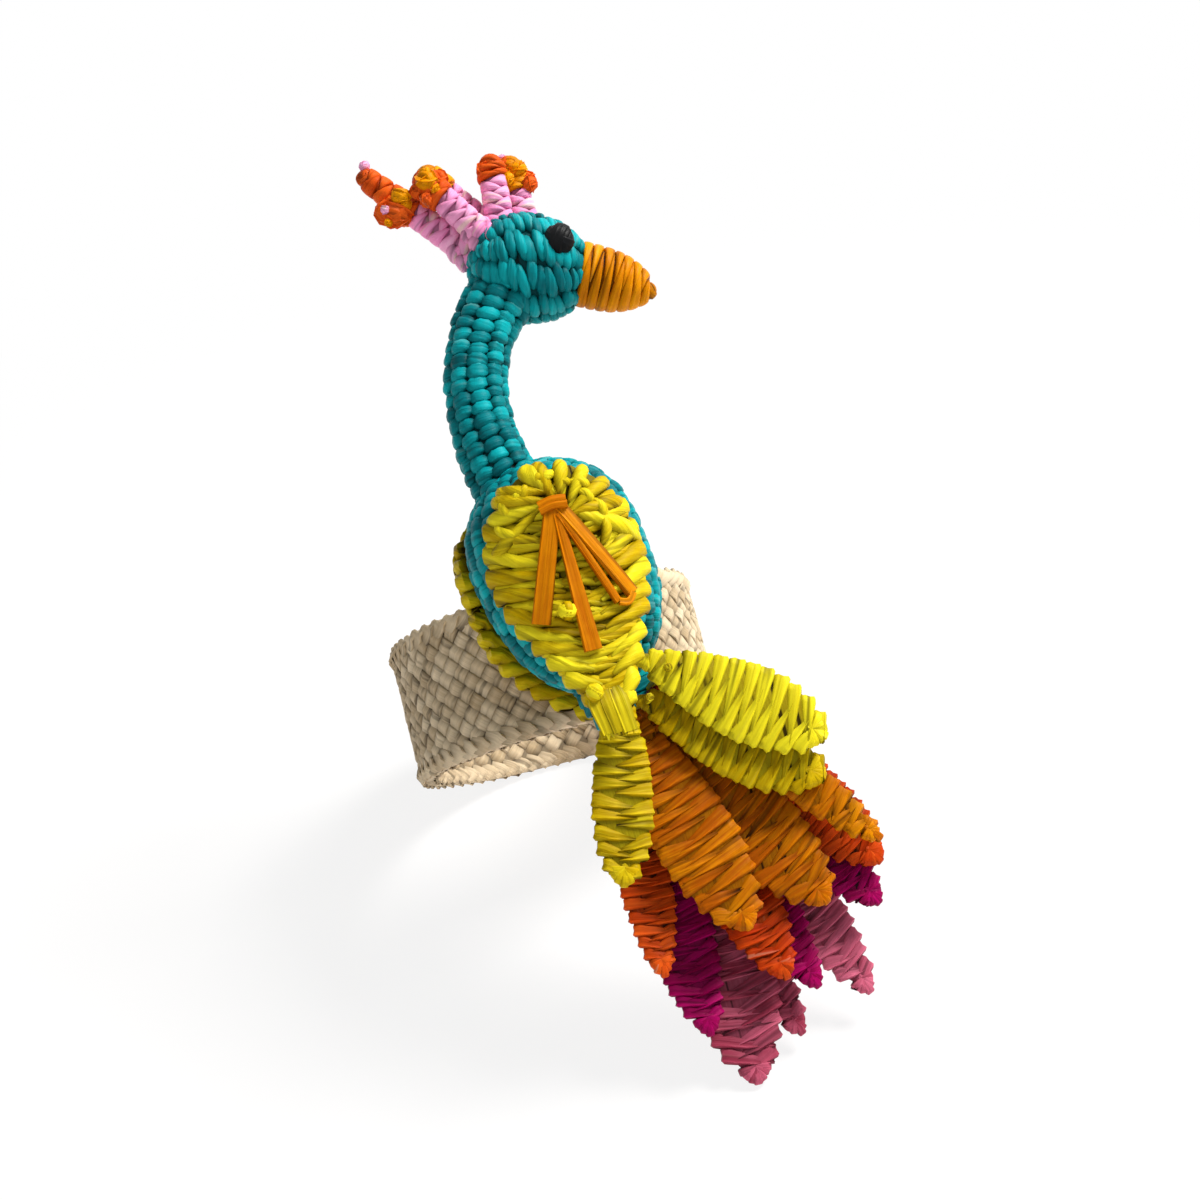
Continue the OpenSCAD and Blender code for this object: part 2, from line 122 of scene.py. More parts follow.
class Net:
    """Socket of a shader's node tree, with the arithmetic that Math nodes do."""

    def __init__(self, shop: "ShaderShop", socket: bpy.types.NodeSocket) -> None:
        """Wraps one output socket of a shop's tree."""
        self.shop = shop
        self.socket = socket

    def _math(self, operation: str, first: "Net | float", second: "Net | float") -> "Net":
        """Adds a Math node for one operation on two values."""
        return self.shop.add("ShaderNodeMath", {"operation": operation}, {0: first, 1: second})

    def __add__(self, other: "Net | float") -> "Net":
        """Adds."""
        return self._math("ADD", self, other)

    __radd__ = __add__

    def __sub__(self, other: "Net | float") -> "Net":
        """Subtracts."""
        return self._math("SUBTRACT", self, other)

    def __rsub__(self, other: "Net | float") -> "Net":
        """Subtracts from a number."""
        return self._math("SUBTRACT", other, self)

    def __mul__(self, other: "Net | float") -> "Net":
        """Multiplies."""
        return self._math("MULTIPLY", self, other)

    __rmul__ = __mul__

    def ramp(self, low: float, high: float) -> "Net":
        """Returns a smooth step from 0 at low to 1 at high."""
        settings = {"interpolation_type": "SMOOTHSTEP"}
        values = {"Value": self, "From Min": low, "From Max": high}
        return self.shop.add("ShaderNodeMapRange", settings, values)


class ShaderShop:
    """Node tree of a material or the world, and the one way to add nodes to it."""

    def __init__(self, owner: bpy.types.Material | bpy.types.World) -> None:
        """Empties the owner's node tree."""
        self.owner = owner
        owner.use_nodes = True
        self.tree = owner.node_tree
        self.tree.nodes.clear()

    def add(
        self,
        kind: str,
        settings: dict | None = None,
        inputs: dict | None = None,
        output: int | str = 0,
    ) -> Net:
        """Adds a node.

        Args:
            kind: The node's type.
            settings: The node's own properties, set before its sockets.
            inputs: Values or links by socket name or number.
            output: The output socket that is handed back.

        Returns:
            The chosen output.
        """
        node = self.tree.nodes.new(kind)
        for key, value in (settings or {}).items():
            setattr(node, key, value)
        for key, value in (inputs or {}).items():
            if isinstance(value, Net):
                self.tree.links.new(value.socket, node.inputs[key])
            else:
                node.inputs[key].default_value = value
        return Net(self, node.outputs[output])

    def mix(self, factor: Net | float, first: Net | tuple, second: Net | tuple) -> Net:
        """Returns a mix of two colours."""
        settings = {"data_type": "RGBA", "clamp_factor": True}
        return self.add("ShaderNodeMix", settings, {0: factor, 6: first, 7: second}, output=2)

    def noise(self, vector: Net, scale: float, detail: float, roughness: float = 0.5) -> Net:
        """Returns a noise value from 0 to 1."""
        values = {"Vector": vector, "Scale": scale, "Detail": detail, "Roughness": roughness}
        return self.add("ShaderNodeTexNoise", {"noise_dimensions": "3D"}, values)

    def attribute(self, name: str) -> Net:
        """Returns a number that the mesh carries at its points."""
        return self.add("ShaderNodeAttribute", {"attribute_name": name}, output="Fac")

    def looked_at(self) -> Net:
        """Returns 1 for a ray from the camera, or one that a reflection or a clear piece passes on."""
        camera = self.add("ShaderNodeLightPath", None, None, "Is Camera Ray")
        rays = camera.socket.node.outputs
        return camera + Net(self, rays["Is Glossy Ray"]) + Net(self, rays["Is Transmission Ray"])

    def close(self, surface: Net) -> bpy.types.Material | bpy.types.World:
        """Links the surface to the output and hands back the tree's owner."""
        kind = "World" if isinstance(self.owner, bpy.types.World) else "Material"
        output = self.tree.nodes.new(f"ShaderNodeOutput{kind}")
        self.tree.links.new(surface.socket, output.inputs["Surface"])
        return self.owner


@dataclass(frozen=True)
class StrawFinish:
    """Dyed palm straw: satin ribbons with fine lengthwise fibres, undyed streaks, and painted shade in tucks
    and creases.
    """

    slot: str
    colour: tuple[int, int, int]
    deep: tuple[int, int, int]
    bright: tuple[int, int, int]
    undyed: tuple[int, int, int] = (226, 214, 178)
    streaks: float = 0.2
    roughness: float = 0.44
    sheen: float = 0.13
    fibres_per_mm: float = 3.2
    fibre_stretch: float = 0.11

    def dress(self) -> bpy.types.Material:
        """Builds the material.

        Returns:
            A material that reads each mesh's straw map, tint and tuck, and paints shade by the tuck and along
            noise creases.
        """
        shop = ShaderShop(bpy.data.materials.new(self.slot))
        straw = shop.add("ShaderNodeUVMap", {"uv_map": "straw"})
        split = shop.add("ShaderNodeSeparateXYZ", None, {0: straw})
        along = split * self.fibre_stretch
        across = Net(shop, split.socket.node.outputs[1]) * self.fibres_per_mm
        tint = shop.attribute("tint")
        tuck = shop.attribute("tuck")
        lay = shop.add("ShaderNodeCombineXYZ", None, {0: along, 1: across, 2: tint * 40})
        fibre = shop.noise(lay, 1.0, 3.0, 0.6)
        crease = shop.noise(lay, 0.26, 1.0)
        place = shop.add("ShaderNodeTexCoord", None, None, "Object")
        mottle = shop.noise(place, 420.0, 2.0)
        tone = (fibre - 0.5) * 0.9 + (tint - 0.5) * 1.0 + (mottle - 0.5) * 0.5 + 0.5
        base = shop.mix(tone, linear(self.deep), linear(self.bright))
        base = shop.mix(0.3, base, linear(self.colour))
        streak_at = 0.72 - 0.16 * self.streaks
        streak = (crease + tint * 0.06).ramp(streak_at, streak_at + 0.07) * self.streaks
        base = shop.mix(streak, base, linear(self.undyed))
        # Painted shade: the colour darkens towards a shadow colour by the mesh's tuck and along the noise
        # creases.
        shadow = [c * 0.26 for c in self.deep]
        fold = (1 - crease.ramp(0.3, 0.42)) * 0.4
        base = shop.mix(tuck * 0.9 + fold, base, linear(shadow))
        height = fibre * 0.35 + crease * 1.1
        bump = shop.add("ShaderNodeBump", None, {"Strength": 1.0, "Distance": 0.0004, "Height": height})
        rough = fibre * 0.22 + (self.roughness - 0.11)
        values = {
            "Base Color": base,
            "Roughness": rough,
            "Normal": bump,
            "IOR": 1.45,
            "Specular IOR Level": self.sheen,
        }
        return shop.close(shop.add("ShaderNodeBsdfPrincipled", None, values))


PALE_TEAL = (150, 216, 206)
TEAL = StrawFinish("straw_teal", (0, 140, 148), (0, 86, 94), (14, 186, 192), PALE_TEAL, 0.18, sheen=0.08)
LIME = StrawFinish("straw_lime", (234, 205, 2), (174, 134, 0), (255, 246, 46), streaks=0.05, sheen=0.06)
AMBER = StrawFinish("straw_amber", (221, 122, 0), (160, 68, 0), (255, 174, 4), streaks=0.04, sheen=0.06)
ORANGE = StrawFinish("straw_orange", (214, 70, 10), (166, 40, 3), (252, 112, 34), streaks=0.16, sheen=0.06)
MAGENTA = StrawFinish("straw_magenta", (160, 0, 84), (114, 0, 50), (196, 14, 116), streaks=0.03, sheen=0.06)
ROSE = StrawFinish("straw_rose", (190, 76, 104), (138, 40, 62), (232, 122, 152), streaks=0.05, sheen=0.07)
PINK = StrawFinish("straw_pink", (252, 156, 208), (238, 128, 188), (255, 190, 226), streaks=0.5)
CREAM = StrawFinish("straw_cream", (216, 194, 158), (172, 148, 112), (244, 226, 194), roughness=0.6)
BLACK = StrawFinish("straw_black", (8, 9, 11), (2, 3, 4), (22, 24, 27), streaks=0.0, sheen=0.12)
STUFFING = StrawFinish("stuffing", (204, 186, 132), (160, 140, 90), (226, 210, 160), roughness=0.7)
FINISHES = (TEAL, LIME, AMBER, ORANGE, MAGENTA, ROSE, PINK, CREAM, BLACK, STUFFING)


@dataclass(frozen=True)
class StrawForm:
    """Short length of straw that is modelled once: along from 0 to 1, across and height from -0.5 to 0.5."""

    points: Array
    faces: list[tuple[int, ...]]


class FormKind(Enum):
    """The straw forms that are modelled once and laid many times."""

    BEAD = "plump stitch"
    RIBBON = "flat wrap"
    WRAP = "folded wrap"
    CORD = "rounded wrap"
    CELL = "square of plait"
    LOOP = "wrap right round a stem"
    STRAP = "flat strap with folded edges"


class FormBench:
    """Models each straw form with mesh operators and keeps it for copying."""

    ribbon_steps: int = 10
    ribbon_round: float = 0.2
    cord_round: float = 0.44
    cell_steps: int = 4
    loop_steps: int = 18
    loop_round: float = 0.36
    strap_cuts: tuple[float, ...] = (0.125, 0.25, 0.375, 0.5, 0.625, 0.75, 0.875)
    strap_drops: dict[float, float] = {-0.5: 0.45, -0.4: 0.0, -0.27: 0.34, 0.06: 0.12, 0.34: 0.26, 0.5: 0.5}
    wrap_cuts: tuple[float, ...] = (0.18, 0.36, 0.45, 0.55, 0.64, 0.82)
    wrap_drops: dict[float, float] = {-0.5: 0.6, -0.34: 0.0, -0.04: 0.34, 0.26: 0.24, 0.5: 0.85}

    def __init__(self) -> None:
        """Models every form once."""
        self.forms = {
            FormKind.BEAD: self._bead(),
            FormKind.RIBBON: self._ribbon(self.ribbon_steps, self.ribbon_round),
            FormKind.CORD: self._ribbon(self.ribbon_steps, self.cord_round),
            FormKind.CELL: self._ribbon(self.cell_steps, self.ribbon_round),
            FormKind.LOOP: self._ribbon(self.loop_steps, self.loop_round),
            FormKind.STRAP: self._creased(self.strap_cuts, self.strap_drops),
            FormKind.WRAP: self._creased(self.wrap_cuts, self.wrap_drops),
        }

    def __getitem__(self, kind: FormKind) -> StrawForm:
        """Returns a form."""
        return self.forms[kind]

    @staticmethod
    def _bar() -> bpy.types.Object:
        """Adds a unit bar that runs from 0 to 1 along X, alone selected."""
        bpy.ops.object.select_all(action="DESELECT")
        bpy.ops.mesh.primitive_cube_add(size=1, location=(0.5, 0, 0))
        bpy.ops.object.transform_apply(location=True, rotation=True, scale=True)
        return bpy.context.object

    @staticmethod
    def _cut(places: Sequence[float], axis: int) -> None:
        """Cuts the bar in edit mode, square to an axis, at each place."""
        for place in places:
            point = [0.0, 0.0, 0.0]
            normal = [0.0, 0.0, 0.0]
            point[axis] = place
            normal[axis] = 1.0
            bpy.ops.mesh.select_all(action="SELECT")
            bpy.ops.mesh.bisect(plane_co=point, plane_no=normal)

    @staticmethod
    def _take(bar: bpy.types.Object) -> StrawForm:
        """Reads a modelled bar as a form, with its faces in the same order each run, and removes it."""
        points = np.array([v.co for v in bar.data.vertices], float)
        faces = sorted(tuple(p.vertices) for p in bar.data.polygons)
        bpy.data.objects.remove(bar)
        return StrawForm(points, faces)

    def _bead(self) -> StrawForm:
        """Models a plump stitch: a subdivided bar that is swelled towards a ball."""
        bar = self._bar()
        bpy.ops.object.mode_set(mode="EDIT")
        bpy.ops.mesh.subdivide(number_cuts=2)
        bpy.ops.object.mode_set(mode="OBJECT")
        bpy.ops.object.origin_set(type="ORIGIN_GEOMETRY")
        swell = bar.modifiers.new("swell", "CAST")
        swell.factor = 0.88
        swell.use_radius_as_size = False
        swell.size = 0.62
        bpy.ops.object.modifier_apply(modifier=swell.name)
        form = self._take(bar)
        spread = form.points / (2 * np.abs(form.points).max(axis=0))
        return StrawForm(spread + [0.5, 0, 0], form.faces)

    def _ribbon(self, steps: int, round_off: float) -> StrawForm:
        """Models a wrap: a bar with its upper edges rounded off, cut into steps."""
        bar = self._bar()
        bpy.ops.object.mode_set(mode="EDIT")
        bpy.ops.mesh.select_mode(type="EDGE")
        bpy.ops.mesh.select_all(action="DESELECT")
        bpy.ops.object.mode_set(mode="OBJECT")
        for edge in bar.data.edges:
            ends = [bar.data.vertices[i].co for i in edge.vertices]
            edge.select = all(c.z > 0 for c in ends) and abs(ends[0].x - ends[1].x) > 0.5
        bpy.ops.object.mode_set(mode="EDIT")
        bpy.ops.mesh.bevel(offset=round_off, segments=2, affect="EDGES")
        self._cut([i / steps for i in range(1, steps)], axis=0)
        bpy.ops.object.mode_set(mode="OBJECT")
        return self._take(bar)

    def _creased(self, cuts: Sequence[float], drops: dict[float, float]) -> StrawForm:
        """Models a creased straw.

        Args:
            cuts: The places along it where it is cut.
            drops: How far its upper side is let down, by the place across it.

        Returns:
            The modelled straw.
        """
        bar = self._bar()
        bpy.ops.object.mode_set(mode="EDIT")
        self._cut([y for y in drops if abs(y) < 0.5], axis=1)
        self._cut(cuts, axis=0)
        bpy.ops.object.mode_set(mode="OBJECT")
        for vertex in bar.data.vertices:
            if vertex.co.z > 0:
                nearest = min(drops, key=lambda y: abs(y - vertex.co.y))
                vertex.co.z -= drops[nearest]
        return self._take(bar)


def glide(values: Array, t: Array) -> tuple[Array, Array]:
    """Reads a smooth curve through a list of values.

    Args:
        values: The values at t = 0, 1, 2 and so on, one row each.
        t: Where to read.

    Returns:
        The curve's values and its slopes.
    """
    last = len(values) - 1
    i = np.clip(np.floor(t).astype(int), 0, last - 1)
    f = (t - i)[:, None]
    p0, p1 = values[np.maximum(i - 1, 0)], values[i]
    p2, p3 = values[i + 1], values[np.minimum(i + 2, last)]
    c1, c2 = p2 - p0, 2 * p0 - 5 * p1 + 4 * p2 - p3
    c3 = 3 * p1 - p0 - 3 * p2 + p3
    return 0.5 * (2 * p1 + c1 * f + c2 * f**2 + c3 * f**3), 0.5 * (c1 + 2 * c2 * f + 3 * c3 * f**2)


class StrawWork:
    """Straw of one finish that is laid length by length and then made one mesh."""

    def __init__(
        self,
        name: str,
        finish: StrawFinish,
        seed: int,
        tone: tuple[float, float] = (0.0, 1.0),
        crevice: float = 0.45,
    ) -> None:
        """Starts an empty piece of work.

        Args:
            name: The piece's name.
            finish: Its straw.
            seed: The seed of its small irregularities.
            tone: Between which strengths its straws are coloured: the dye's strength, and on a few feathers
                painted light or shade.
            crevice: How much shade is painted on each straw's underside.
        """
        self.name = name
        self.tone = tone
        self.crevice = crevice
        self.finish = finish
        self.rng = np.random.default_rng(seed)
        self.points: list[Array] = []
        self.maps: list[Array] = []
        self.tints: list[Array] = []
        self.tucks: list[Array] = []
        self.faces: list[tuple[int, ...]] = []
        self.count = 0

    def wander(self, size: float) -> float:
        """Returns a small seeded departure from regular."""
        return float(self.rng.uniform(-size, size))

    def gather(self, points: Array, faces: Sequence, uv: Array, tint: Array, tuck: Array) -> None:
        """Adds one closed shape to the work."""
        self.points.append(points)
        self.maps.append(uv)
        self.tints.append(tint)
        self.tucks.append(tuck)
        self.faces.extend(tuple(i + self.count for i in face) for face in faces)
        self.count += len(points)

    def lay(
        self,
        form: StrawForm,
        route: Array,
        ups: Array,
        width: float | Array,
        height: float | Array,
        tuck: float | Array = 0.0,
        twist: float = 0.0,
    ) -> None:
        """Lays one length of straw along a route.

        Args:
            form: The modelled straw.
            route: Points that the straw's middle follows.
            ups: The direction away from what it lies on, at each point.
            width: The straw's width, at each point or all along.
            height: The straw's thickness, at each point or all along.
            tuck: How much shade is painted on it, from 0 to 1, where it is tucked out of the light.
            twist: How far its fibres climb across it, for each millimetre along it.
        """
        n = len(route)
        across = np.broadcast_to(np.asarray(width, float), (n,))
        thick = np.broadcast_to(np.asarray(height, float), (n,))
        dark = np.broadcast_to(np.asarray(tuck, float), (n,))
        rows = np.column_stack([route, ups, across, thick, dark])
        read, slope = glide(rows, form.points[:, 0] * (n - 1))
        way = unit(slope[:, :3])
        side = unit(np.cross(read[:, 3:6], way))
        up = np.cross(way, side)
        y, z = form.points[:, 1], form.points[:, 2]
        placed = read[:, :3] + side * (y * read[:, 6])[:, None] + up * (z * read[:, 7])[:, None]
        length = float(np.linalg.norm(np.diff(route, axis=0), axis=1).sum())
        uv = np.column_stack([form.points[:, 0] * length, y * read[:, 6]])
        uv[:, 1] += twist * uv[:, 0]
        uv += self.rng.uniform(0, 60, 2)
        tint = np.full(len(placed), self.rng.uniform(*self.tone))
        # Painted shade: the tuck, plus more towards the straw's underside by the crevice amount.
        shade = read[:, 8] + self.crevice * np.maximum(0.5 - z, 0) ** 0.7
        self.gather(placed, form.faces, uv, tint, np.clip(shade, 0, 1))

    def line(self, rings: Array, tuck: float = 0.85) -> None:
        """Adds the closed surface that the straw lies on.

        Args:
            rings: Rings of points, each ring closed, in order along the piece.
            tuck: How much shade is painted on it, where it shows between the straws.
        """
        m, n, _ = rings.shape
        quads = [
            (i * n + k, i * n + (k + 1) % n, (i + 1) * n + (k + 1) % n, (i + 1) * n + k)
            for i in range(m - 1)
            for k in range(n)
        ]
        ends = [tuple(range(n - 1, -1, -1)), tuple((m - 1) * n + k for k in range(n))]
        points = rings.reshape(-1, 3)
        uv = np.column_stack([points[:, 2], points[:, 0]])
        self.gather(points, quads + ends, uv, np.full(m * n, 0.5), np.full(m * n, tuck))

    def make(self, stance: Stance) -> bpy.types.Object:
        """Makes the mesh object in the standing frame, pressed flat where it would pass the floor.

        Args:
            stance: Where the bird stands.

        Returns:
            The new object, smooth within each straw.
        """
        points = stance.rest(np.concatenate(self.points))
        points[:, 2] = np.maximum(points[:, 2], 0.0)
        mesh = bpy.data.meshes.new(self.name)
        mesh.from_pydata((points * MM).tolist(), [], self.faces)
        corners = np.zeros(len(mesh.loops), dtype=np.int32)
        mesh.loops.foreach_get("vertex_index", corners)
        uv = np.concatenate(self.maps)[corners]
        mesh.uv_layers.new(name="straw").data.foreach_set("uv", uv.astype(np.float32).ravel())
        for name, values in (("tint", self.tints), ("tuck", self.tucks)):
            layer = mesh.attributes.new(name, "FLOAT", "POINT")
            layer.data.foreach_set("value", np.concatenate(values).astype(np.float32))
        piece = bpy.data.objects.new(self.name, mesh)
        bpy.context.scene.collection.objects.link(piece)
        bpy.ops.object.select_all(action="DESELECT")
        piece.select_set(True)
        bpy.context.view_layer.objects.active = piece
        bpy.ops.object.shade_smooth_by_angle(angle=SHADE_ANGLE)
        return piece


class Lathe:
    """Round surface about a straight or bowed middle line."""

    def __init__(self, centres: Array, radii: Array, side: Sequence[float]) -> None:
        """Measures the surface along its length.

        Args:
            centres: Points of the middle line.
            radii: The radius at each of them.
            side: A direction that angle zero points to.
        """
        self.centres = centres
        self.radii = radii
        self.ways = unit(np.gradient(centres, axis=0))
        flat = np.asarray(side, float) - self.ways * (self.ways @ np.asarray(side, float))[:, None]
        self.first = unit(flat)
        self.second = np.cross(self.ways, self.first)
        steps = np.linalg.norm(np.diff(centres, axis=0), axis=1)
        slant = np.hypot(steps, np.diff(radii))
        self.reach = np.concatenate([[0.0], np.cumsum(slant)])
        self.length = float(self.reach[-1])
        self.rise = np.gradient(radii) / np.maximum(np.gradient(self.reach), 1e-6)

    def _read(self, values: Array, s: Array) -> Array:
        """Reads a list of values at distances along the surface."""
        if values.ndim == 1:
            return np.interp(s, self.reach, values)
        return np.column_stack([np.interp(s, self.reach, column) for column in values.T])

    def radius(self, s: float) -> float:
        """Returns the radius at a distance along the surface."""
        return float(np.interp(s, self.reach, self.radii))

    def spot(self, s: Array, turn: Array, lift: Array | float = 0.0) -> tuple[Array, Array]:
        """Finds points on the surface.

        Args:
            s: Distances along the surface.
            turn: Angles around it.
            lift: Heights off it.

        Returns:
            The points, and the outward directions there.
        """
        s = np.asarray(s, float)
        cos, sin = np.cos(turn)[:, None], np.sin(turn)[:, None]
        out = self._read(self.first, s) * cos + self._read(self.second, s) * sin
        rise = np.clip(self._read(self.rise, s), -1, 1)
        level = np.sqrt(1 - rise**2)
        normal = unit(out * level[:, None] - self._read(self.ways, s) * rise[:, None])
        lifted = np.broadcast_to(np.asarray(lift, float), s.shape)
        points = self._read(self.centres, s) + out * self._read(self.radii, s)[:, None]
        return points + normal * lifted[:, None], normal

    def rings(self, inset: float, count: int, sides: int) -> Array:
        """Returns rings of points a little inside the surface."""
        s = np.linspace(0.002, 0.998, count) * self.length
        turn = np.arange(sides) * 2 * math.pi / sides
        return np.stack([self.spot(np.full(sides, a), turn, -inset)[0] for a in s])


def egg(
    centre: Sequence[float],
    way: Sequence[float],
    radius: float,
    up: float,
    down: float,
    full: tuple[float, float],
) -> Lathe:
    """Returns an egg-shaped surface.

    Args:
        centre: The middle of its widest ring.
        way: The direction of its upper end.
        radius: The radius of its widest ring.
        up: Its length above that ring.
        down: Its length below that ring.
        full: How blunt its upper and lower halves are: 2 is an ellipse.

    Returns:
        The surface, from its lower end to its upper one.
    """
    angle = np.linspace(-math.pi / 2, math.pi / 2, 121)
    high = np.where(angle < 0, down, up) * np.sin(angle)
    blunt = np.where(angle < 0, full[1], full[0])
    share = np.abs(np.sin(angle)) ** blunt
    radii = radius * np.sqrt(np.maximum(1 - share, 0))
    return Lathe(np.asarray(centre, float) + high[:, None] * np.asarray(way, float), radii, (0, -1, 0))


@dataclass(frozen=True)
class Sewing:
    """How a skin is sewn.

    It has the columns round the widest ring, the pitch from one stitch to the next in a column, a stitch's
    thickness, its slant and its stray as shares of its length, and the shortest stitch, below which columns
    merge.
    """

    columns: int
    pitch: float
    thick: float
    slant: float
    stray: float
    least: float = 1.7


def stitch(work: StrawWork, form: StrawForm, skin: Lathe, sewing: Sewing) -> None:
    """Covers a round surface with columns of plump stitches, each column half a stitch off the next.

    Args:
        work: The straw work that takes the stitches.
        form: The modelled stitch.
        skin: The surface.
        sewing: How it is sewn.
    """
    columns, pitch, thick = sewing.columns, sewing.pitch, sewing.thick
    offsets = np.linspace(-0.5, 0.5, 5)
    rows = int(skin.length / pitch)
    for row in range(rows):
        for column in range(columns):
            s = (row + 0.3 + 0.5 * (column % 2)) * pitch + work.wander(0.1 * pitch)
            if s > skin.length - 0.2 * pitch:
                continue
            merged = 1
            around = 2 * math.pi * skin.radius(s)
            while around * merged / columns < sewing.least and merged < columns / 2:
                merged *= 2
            if column % merged:
                continue
            span = merged * 2 * math.pi / columns * (1.1 + work.wander(0.05))
            turn = column * 2 * math.pi / columns + (offsets + work.wander(sewing.stray)) * span
            lean = (sewing.slant + work.wander(0.14)) * around / columns * merged
            at = np.clip(s + offsets * lean, 0.01, skin.length - 0.01)
            lift = thick * (-0.32 - 0.34 * (2 * offsets) ** 2) + work.wander(0.1) * thick
            route, ups = skin.spot(at, turn, lift)
            width = pitch * np.array([0.82, 1.12, 1.2, 1.12, 0.82]) * (1 + work.wander(0.16))
            # Painted shade at the stitch's ends, where they sink into the skin.
            work.lay(form, route, ups, width, thick, np.array([0.5, 0.1, 0, 0.1, 0.5]), twist=0.25)


def interlock(
    work: StrawWork,
    form: StrawForm,
    stem: Lathe,
    turns: int,
    thick: float,
    droop: float = 0.0,
) -> None:
    """Winds straw round a stem from above and below, so that the wraps mesh like teeth on both faces.

    Args:
        work: The straw work that takes the wraps.
        form: The modelled loop.
        stem: The stem.
        turns: How many wraps come from each side.
        thick: How thick the straw is.
        droop: How far each wrap's ends run down the stem, in millimetres.
    """
    pitch = stem.length / turns
    share = np.linspace(-1, 1, 13)
    grip = math.radians(122)
    for turn in range(turns):
        for side in (-1, 1):
            angles = side * math.pi / 2 + share * grip * (1 + work.wander(0.08))
            middle = (turn + 0.3 + 0.2 * (1 + side)) * pitch + work.wander(0.06 * pitch)
            slope = work.wander(0.3) * share - droop * np.abs(share)
            at = np.clip(middle + slope, 0.01, stem.length - 0.01)
            width = pitch * (1.12 - 0.96 * np.abs(share) ** 1.3) * (1 + work.wander(0.1))
            route, ups = stem.spot(at, angles, -0.35 * thick * share**2)
            # Painted shade towards the wrap's ends, where they tuck under.
            work.lay(form, route, ups, width, thick, 0.5 * np.abs(share) ** 4)


def knot(
    work: StrawWork,
    form: StrawForm,
    centre: Sequence[float],
    size: float,
    loops: int,
    flat: float = 1.0,
    tuck: float = 0.0,
) -> None:
    """Ties a small knot of crossed loops.

    Args:
        work: The straw work that takes the loops.
        form: The modelled loop.
        centre: The knot's middle.
        size: The knot's radius.
        loops: How many loops cross in it.
        flat: How deep the knot is, as a share of its radius.
        tuck: How much shade is painted on it, where it is tucked out of the light.
    """
    angles = np.linspace(0, 2 * math.pi * 1.03, 13)
    squash = np.array([1.0, flat, 1.0])
    for loop in range(loops):
        pole = unit(work.rng.normal(size=3))
        first = unit(np.cross(pole, [0.31, 0.83, 0.47]))
        second = np.cross(pole, first)
        out = np.cos(angles)[:, None] * first + np.sin(angles)[:, None] * second
        route = np.asarray(centre, float) + out * squash * size * (0.72 + work.wander(0.1))
        work.lay(form, route, out, size * (0.85 + work.wander(0.15)), size * 0.5, tuck)


class FlatSheet:
    """Flat face that a feather lies on: across, along towards its tip, and out towards the viewer."""

    def __init__(self, root: Sequence[float], depth: float, angle: float) -> None:
        """Places the sheet.

        Args:
            root: The root's side and height in the bird's frame.
            depth: The depth of the sheet's middle.
            angle: The angle from straight down, towards the beak's side.
        """
        self.root = np.array([root[0], depth, root[1]])
        self.way = np.array([math.sin(angle), 0.0, -math.cos(angle)])
        self.side = np.array([math.cos(angle), 0.0, math.sin(angle)])
        self.front = np.array([0.0, -1.0, 0.0])

    def spot(self, u: Array, s: Array, h: Array) -> tuple[Array, Array, Array, Array]:
        """Returns points on the sheet, with the directions across it, out of it and along it."""
        points = self.root + np.outer(u, self.side) + np.outer(s, self.way) + np.outer(h, self.front)
        across, out, along = [np.tile(v, (len(points), 1)) for v in (self.side, self.front, self.way)]
        return points, across, out, along


@dataclass(frozen=True)
class RoundSheet:
    """Face bent round the body's middle that a wing lies on.

    It has the radius of the wing's middle, the height and side step of the wing's upper end, the turn round
    the body, the swing of the wing's tip towards the tail, and faces -1 to the near side or 1 to the far
    side.
    """

    radius: float
    top: float
    middle: float
    turn: float
    swing: float
    facing: int

    def spot(self, u: Array, s: Array, h: Array) -> tuple[Array, Array, Array, Array]:
        """Returns points on the sheet, with the directions across it, out of it and along it."""
        u, s, h = np.broadcast_arrays(np.asarray(u, float), np.asarray(s, float), np.asarray(h, float))
        cos, sin = math.cos(self.swing), math.sin(self.swing)
        angle = np.arcsin(np.clip((self.middle + u * cos + s * sin) / self.radius, -0.985, 0.985))
        flat = np.zeros_like(angle)
        out = np.stack([np.sin(angle), self.facing * np.cos(angle), flat], axis=1)
        level = np.stack([np.cos(angle), -self.facing * np.sin(angle), flat], axis=1)
        up = np.array([0.0, 0.0, 1.0])
        points = out * (self.radius + h)[:, None] + np.outer(self.top + u * sin - s * cos, up)
        across, along = level * cos + up * sin, level * sin - up * cos
        c, d = math.cos(self.turn), math.sin(self.turn)
        spin = np.array([[c, d, 0.0], [-d, c, 0.0], [0.0, 0.0, 1.0]])
        return points @ spin, across @ spin, out @ spin, along @ spin


